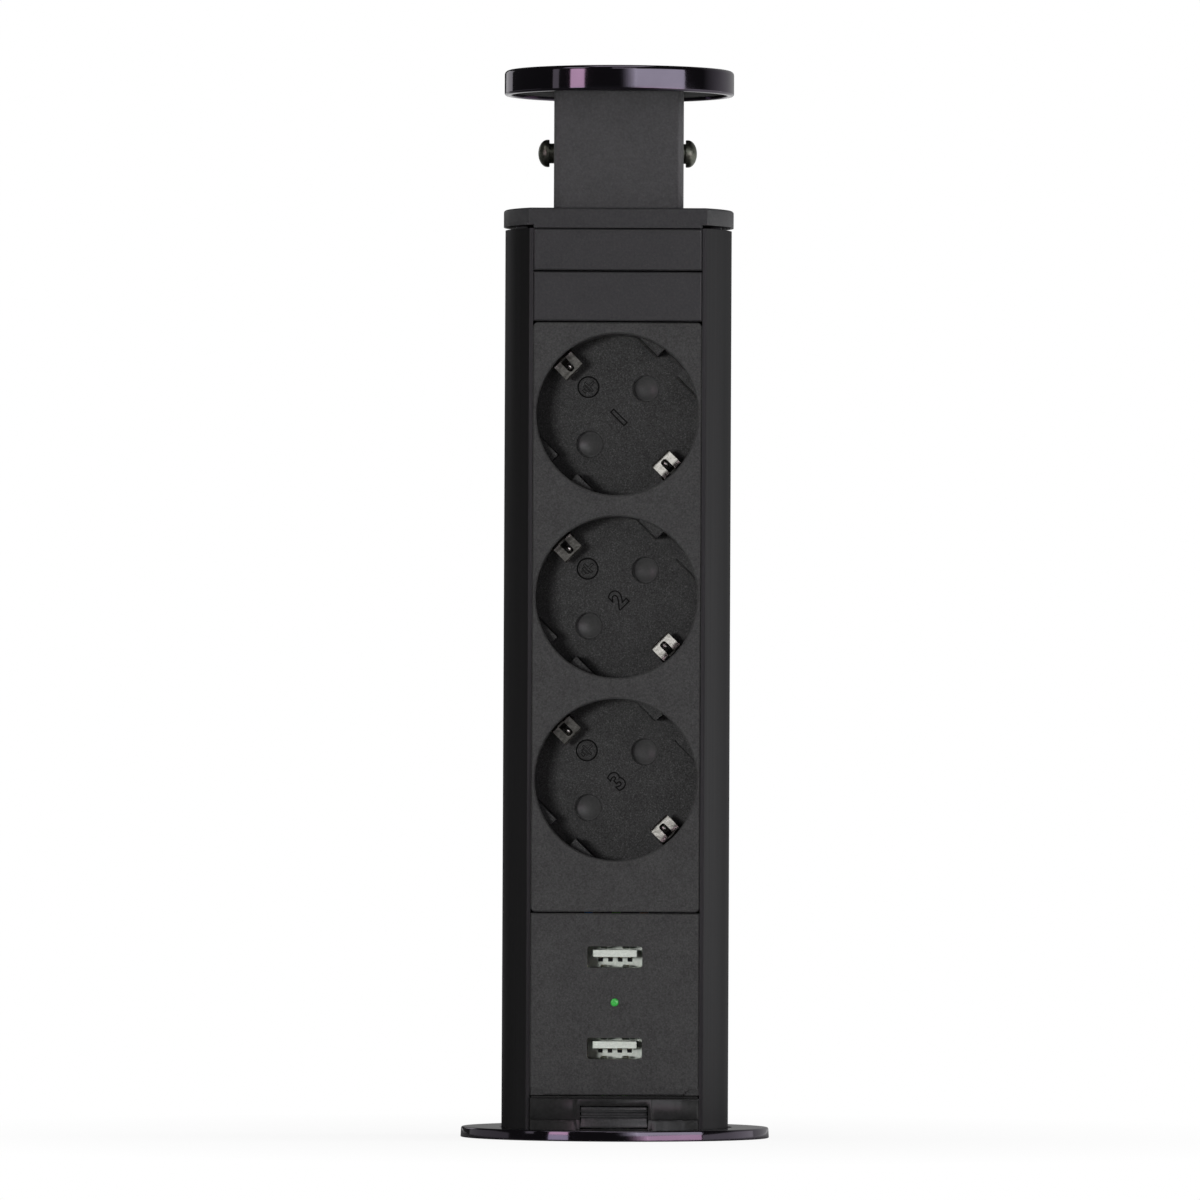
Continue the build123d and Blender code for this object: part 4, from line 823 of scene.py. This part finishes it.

# Thin spring contacts under the ports' tongues, and painted shade for the mouths in the insulators that they
# come through
contact_pitch = 2.35 * mm
contact_half = 0.45 * mm
slot_shade_drop = 0.44 * mm
turn_sideways = Matrix(((0, 0, 1, 0), (1, 0, 0, 0), (0, 1, 0, 0), (0, 0, 0, 1)))
slot_shade_outline = rounded_box(0.57 * mm, 0.53 * mm, 0.12 * mm, 2)
for number in (1, 2):
    node = f"usb_contacts_{number}"
    low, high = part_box(node)
    # The free end curls up against the tongue over its first bit of length
    end_y, bend_y = low.y + 1.2 * mm, low.y + 1.8 * mm
    outline = [
        (end_y, high.z - 0.16 * mm),
        (bend_y, high.z - 0.28 * mm),
        (high.y, high.z - 0.28 * mm),
        (high.y, high.z - 0.14 * mm),
        (bend_y, high.z - 0.14 * mm),
        (end_y, high.z - 0.02 * mm),
    ]
    strips, slots = [], []
    for across in (-1.5 * contact_pitch, -0.5 * contact_pitch, 0.5 * contact_pitch, 1.5 * contact_pitch):
        strip_place = Matrix.Translation((across, 0, 0)) @ turn_sideways
        strips.append(prism("contact", outline, -contact_half, contact_half, strip_place))
        # Painted shade: a thin dark plate on the insulator's face where each mouth would be
        slot_shade_place = facing((across, high.y, low.z - slot_shade_drop), to_front)
        slots.append(prism("slot", slot_shade_outline, 0, 0.12 * mm, slot_shade_place))
    new_piece(f"{node}_formed", joined("contacts", strips), node)
    new_piece(f"usb_slots_{number}", joined("slots", slots), node, component_epoxy, stands_for=False)

# Release button: a round front with two rolled ribs over a sloped thumb rest, and its catch below
button_low, button_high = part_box("release_button")
button_half = 7.9 * mm
button_back = button_low.y + 7.1 * mm
# Distance from the tower's axis and height above the desk, in millimetres, from the thumb rest up
rib_profile = [
    (26.9, 2.85),
    (27.3, 2.9),
    (27.5, 3.05),
    (27.55, 3.3),
    (27.45, 3.8),
    (27.32, 4.3),
    (27.18, 4.8),
    (27.1, 5.2),
    (27.2, 5.35),
    (27.5, 5.45),
    (27.57, 5.6),
    (27.5, 5.75),
    (27.1, 5.85),
    (26.95, 6.0),
    (26.98, 6.5),
    (27.1, 6.65),
    (27.45, 6.75),
    (27.57, 6.9),
    (27.5, 7.05),
    (27.15, 7.2),
    (27.05, 7.4),
    (27.1, 7.8),
    (26.95, 7.95),
]
button_bottom = rib_profile[0][1] * mm
button_top = rib_profile[-1][1] * mm
columns = 24
rows = len(rib_profile)
side_round = 0.12 * mm
span = asin(button_half / (27.3 * mm))
points, faces = [], []
for reach, height in rib_profile:
    for column in range(columns + 1):
        angle = span * (2 * column / columns - 1)
        inset = side_round if column in (0, columns) else 0
        points.append(Vector((reach * mm * sin(angle), -(reach * mm - inset) * cos(angle), height * mm)))
width = columns + 1
for row in range(rows - 1):
    for column in range(columns):
        n = row * width + column
        faces.append((n, n + 1, n + width + 1, n + width))
# The flat back, and the sides, bottom and top that reach it
back = len(points)
for row in range(rows):
    for column in (0, columns):
        front = points[row * width + column]
        points.append(Vector((front.x, button_back, front.z)))
for row in range(rows - 1):
    left, right = back + 2 * row, back + 2 * row + 1
    front_left, front_right = row * width, row * width + columns
    faces.append((front_left, front_left + width, left + 2, left))
    faces.append((front_right, front_right + width, right + 2, right))
    faces.append((left, right, right + 2, left + 2))
top = (rows - 1) * width
faces.append((*range(width), back + 1, back))
faces.append((*range(top, top + width), back + 2 * rows - 1, back + 2 * rows - 2))
button_front = mesh_from("button_front", points, faces)

ear_half, ear_t = button_high.x, 2.4 * mm
ear_outline = rounded(
    [(-ear_half, 0, 0.3 * mm), (ear_half, 0, 0.3 * mm), (ear_half, ear_t, 0), (-ear_half, ear_t, 0)], 3
)
ear_place = Matrix.Translation((0, button_back - ear_t, 0))
ears = prism("ears", ear_outline, button_bottom, button_top, ear_place)

finger_half, finger_t, finger_round = 3 * mm, 2 * mm, 0.2 * mm
finger_corners = ((-finger_half, 0), (finger_half, 0), (finger_half, finger_t), (-finger_half, finger_t))
finger_outline = rounded([(x, y, finger_round) for x, y in finger_corners], 3)
finger_place = Matrix.Translation((0, button_back - finger_t, 0))
finger = prism("finger", finger_outline, button_low.z, button_bottom + 0.2 * mm, finger_place)

# The catch follows the sleeve's round bore
catch_height = 2.5 * mm
catch_side, catch_middle = -27.28 * mm, -27.44 * mm
catch_outline = [(-finger_half, button_back), (finger_half, button_back)]
catch_outline += [(finger_half, catch_side), (0, catch_middle), (-finger_half, catch_side)]
catch = prism("catch", catch_outline, button_low.z, button_low.z + catch_height, soften=0.25 * mm)
button = joined("release_button", [button_front, ears, finger, catch])
new_piece("release_button_ribbed", button, "release_button", button_abs, sharp=45)

# Rubber seal inside the cord gland
gland_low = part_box("cord_gland")[0]
seal_bore, seal_r, seal_round = 3.1 * mm, 4.2 * mm, 0.6 * mm
seal_low, seal_high = gland_low.z + 2 * mm, gland_low.z + 9 * mm
seal_outline = rounded(
    [
        (seal_bore, seal_low, seal_round),
        (seal_r, seal_low, 0),
        (seal_r, seal_high, 0),
        (seal_bore, seal_high, seal_round),
    ]
)
seal = turned("gland_seal", seal_outline, segments=48, closed=True)
new_piece("gland_seal", seal, "cord_gland", component_epoxy, stands_for=False)

# Soft edges on what is moulded or cast
panels = ("blank_cover_lower", "blank_cover_upper", "socket_face", "usb_front", "foot_block", "foot_base")
blocks = ("neck", "top_plate", "tail_cap", "clamp_nut", "clamp_washer", "gland_nut")
inner_blocks = ("lid_insert", "contact_carrier")
wells = ("socket_well_1", "socket_well_2", "socket_well_3")
for softened, width in ((panels, 0.14 * mm), (blocks + inner_blocks, 0.2 * mm), (wells, 0.16 * mm)):
    for node in softened:
        soften_edges(node, width)

# Studio: a white floor with the desk's hole, a white sweep behind the object and a dim room in front of it.
# The floor lies a hair below the ring's underside, and reaches so far that its edge isn't seen
floor_height = -0.05 * mm
floor_hole = 30 * mm
floor_middle, floor_edge = 0.5, 8
floor_rings = [(radius, floor_height) for radius in (floor_hole, floor_middle, floor_edge)]
floor_shape = turned("floor", floor_rings)
floor_faces = bmesh.new()
floor_faces.from_mesh(floor_shape)
caps = [face for face in floor_faces.faces if len(face.verts) > 4]
bmesh.ops.delete(floor_faces, geom=caps, context="FACES_ONLY")
floor_faces.to_mesh(floor_shape)
floor_faces.free()
floor = bpy.data.objects.new("floor", floor_shape)
bpy.context.scene.collection.objects.link(floor)

# Straight and mirrored rays see the floor glow like the background. Near the object a tenth of it is white
# paint, which takes the shadow. In a mirror the glow is dim paper, brighter towards the back right
paint, tree, shader, place = new_finish("matt_white_paint", Base_Color=linear("#eeeeee"), Roughness=0.9)
shader.inputs["Specular IOR Level"].default_value = 0.1
rays = add(tree, "LightPath").outputs
straight_rays = {0: rays["Is Camera Ray"], 1: rays["Is Transmission Ray"]}
straight = add(tree, "Math", straight_rays, operation="MAXIMUM").outputs[0]
glowing = add(tree, "Math", {0: rays["Is Glossy Ray"], 1: straight}, operation="MAXIMUM").outputs[0]
reach = add(tree, "VectorMath", {0: place}, operation="LENGTH").outputs["Value"]
fill_span = {"Value": reach, "From Min": 0.035, "From Max": 0.2, "To Min": 0.9, "To Max": 1.0}
floor_fill = add(tree, "MapRange", fill_span).outputs[0]
back_right = add(tree, "VectorMath", {0: place, 1: (0.8, 0.6, 0)}, operation="DOT_PRODUCT").outputs["Value"]
paper_span = {"Value": back_right, "From Max": 0.25, "To Min": 0.06, "To Max": 0.6}
paper_level = add(tree, "MapRange", paper_span).outputs[0]
level = add(tree, "Mix", {0: straight, 2: paper_level, 3: 1.0}, data_type="FLOAT").outputs[0]
glow = add(tree, "Emission", {"Color": linear("#ffffff"), "Strength": level})
seen = add(tree, "Math", {0: glowing, 1: floor_fill}, operation="MULTIPLY").outputs[0]
mixed = add(tree, "MixShader", {0: seen, 1: shader.outputs[0], 2: glow.outputs[0]})
tree.links.new(mixed.outputs[0], tree.nodes["Material Output"].inputs["Surface"])
floor_shape.materials.append(paint)

# Behind all lamps straight rays see white. Mirrored rays see a dim room with a pale sweep at the back right,
# and other rays get faint fill from all round
world = bpy.data.worlds.new("studio")
bpy.context.scene.world = world
world.use_nodes = True
tree = world.node_tree
room_level, sweep_level, fill_level = 0.035, 0.4, 0.12
rays = add(tree, "LightPath").outputs
straight_rays = {0: rays["Is Camera Ray"], 1: rays["Is Transmission Ray"]}
straight = add(tree, "Math", straight_rays, operation="MAXIMUM").outputs[0]
ray = add(tree, "TexCoord").outputs["Generated"]
back_right = add(tree, "VectorMath", {0: ray, 1: (0.6, 0.8, 0)}, operation="DOT_PRODUCT").outputs["Value"]
sweep_span = {"Value": back_right, "From Min": 0.66, "From Max": 0.98}
sweep_span |= {"To Min": room_level, "To Max": sweep_level}
sweep = add(tree, "MapRange", sweep_span).outputs[0]
lit = add(tree, "Mix", {0: rays["Is Glossy Ray"], 2: fill_level, 3: sweep}, data_type="FLOAT").outputs[0]
level = add(tree, "Mix", {0: straight, 2: lit, 3: 1.0}, data_type="FLOAT").outputs[0]
background = tree.nodes["Background"]
background.inputs["Color"].default_value = linear("#ffffff")
tree.links.new(level, background.inputs["Strength"])


def aimed(place, target):
    """Matrix of a camera or lamp at place that looks at target."""
    ahead = (Vector(target) - Vector(place)).normalized()
    return Matrix.Translation(place) @ ahead.to_track_quat("-Z", "Y").to_matrix().to_4x4()


def lamp(
    name,
    azimuth,
    elevation,
    distance,
    width,
    height,
    radiance,
    colour="#ffffff",
    gloss=True,
    diffuse=True,
    aim=0.12,
):
    """Soft box that looks at the height aim on the axis. Azimuth is from the front towards the right.
    Surfaces take its light if diffuse, and mirror it if gloss."""
    light = bpy.data.lights.new(name, "AREA")
    light.shape = "RECTANGLE"
    light.size, light.size_y = width, height
    light.color = linear(colour)[:3]
    light.energy = radiance * pi * width * height
    lamp_object = bpy.data.objects.new(name, light)
    bpy.context.scene.collection.objects.link(lamp_object)
    turn, rise = radians(azimuth), radians(elevation)
    place = Vector((sin(turn) * cos(rise), -cos(turn) * cos(rise), sin(rise))) * distance
    middle = Vector((0, 0, aim))
    lamp_object.matrix_world = aimed(middle + place, middle)
    lamp_object.visible_glossy = gloss
    lamp_object.visible_diffuse = diffuse


# The key stands left of the camera, throws the shade in the wells and isn't mirrored. The lid mirrors
# what is above 0.19 m where the other lamps stand, and the ring what is below it
in_lid = {"elevation": 0, "height": 0.56, "diffuse": False, "aim": 0.47}
in_ring = {"elevation": 0, "height": 0.18, "diffuse": False, "aim": 0.095}
cool, pink, lilac, rose = "#f8faff", "#ffd9ee", "#f2ecff", "#ffdcf0"
lamp("key", -14, 0, 2.2, 0.34, 0.2, 132, gloss=False)
lamp("left_upper", -42, distance=1.6, width=0.42, radiance=3.2, colour=pink, **in_lid)
lamp("left_lower", -42, distance=1.6, width=0.44, radiance=2.0, colour=lilac, **in_ring)
lamp("left_glint", -66, distance=1.6, width=0.2, radiance=0.5, **in_lid)
lamp("right_upper", 43, distance=1.6, width=1.58, radiance=2.1, colour=cool, **in_lid)
lamp("right_lower", 46.5, distance=1.6, width=1.28, radiance=2.7, colour=rose, **in_ring)
# Strips that fade the two lamps on the right towards the middle
steps = 6
for step in range(steps):
    share = (step + 0.5) / steps
    fade = share**1.5
    upper, lower = 2 + 15 * share, 9 + 16 * share
    lamp(f"upper_fade_{step}", upper, distance=1.65, width=0.075, radiance=2.1 * fade, colour=cool, **in_lid)
    lamp(f"lower_fade_{step}", lower, distance=1.65, width=0.08, radiance=2.7 * fade, colour=rose, **in_ring)
lamp("right_low", 98, distance=1.7, width=1.86, radiance=0.5, **in_ring)
lamp("left_end", -147, 0, 1.7, 0.7, 0.5, 0.7, diffuse=False, aim=0.5)
lamp("right_side", 100, 10, 1.6, 0.5, 0.9, 20, gloss=False)
lamp("left_side", -98, 10, 1.6, 0.5, 0.9, 5, gloss=False)
lamp("left_low", -112, distance=1.7, width=1.7, radiance=0.22, **in_ring)
lamp("high_left", -52, 44, 2.0, 0.7, 0.6, 1.3, diffuse=False)
lamp("front_high", 6, 30, 2.0, 0.8, 0.4, 1.4, diffuse=False)
lamp("overhead", 0, 84, 1.8, 1.0, 1.0, 1.2)
# Below the floor, for views of the clamp from below
lamp("under_desk", -35, -38, 1.2, 0.6, 0.6, 5, aim=-0.05)

# Camera where the photographer stood
picture_width = 1200
scale = 0.24 * mm
distance = 2.86
eye_height = 88.6 * mm
eye_turn = radians(0.5)
lean = radians(0.26)
aim_left = 4.1 * mm
aim_height = 128.8 * mm
camera = bpy.data.cameras.new("camera")
camera.sensor_width = 36
camera.lens = camera.sensor_width * distance / (picture_width * scale)
camera.clip_end = 50
camera_object = bpy.data.objects.new("camera", camera)
bpy.context.scene.collection.objects.link(camera_object)
eye = Vector((distance * sin(eye_turn), -distance * cos(eye_turn), eye_height))
camera_object.matrix_world = aimed(eye, (-aim_left, 0, aim_height)) @ Matrix.Rotation(lean, 4, "Z")
bpy.context.scene.camera = camera_object
bpy.context.scene.view_settings.view_transform = "Standard"
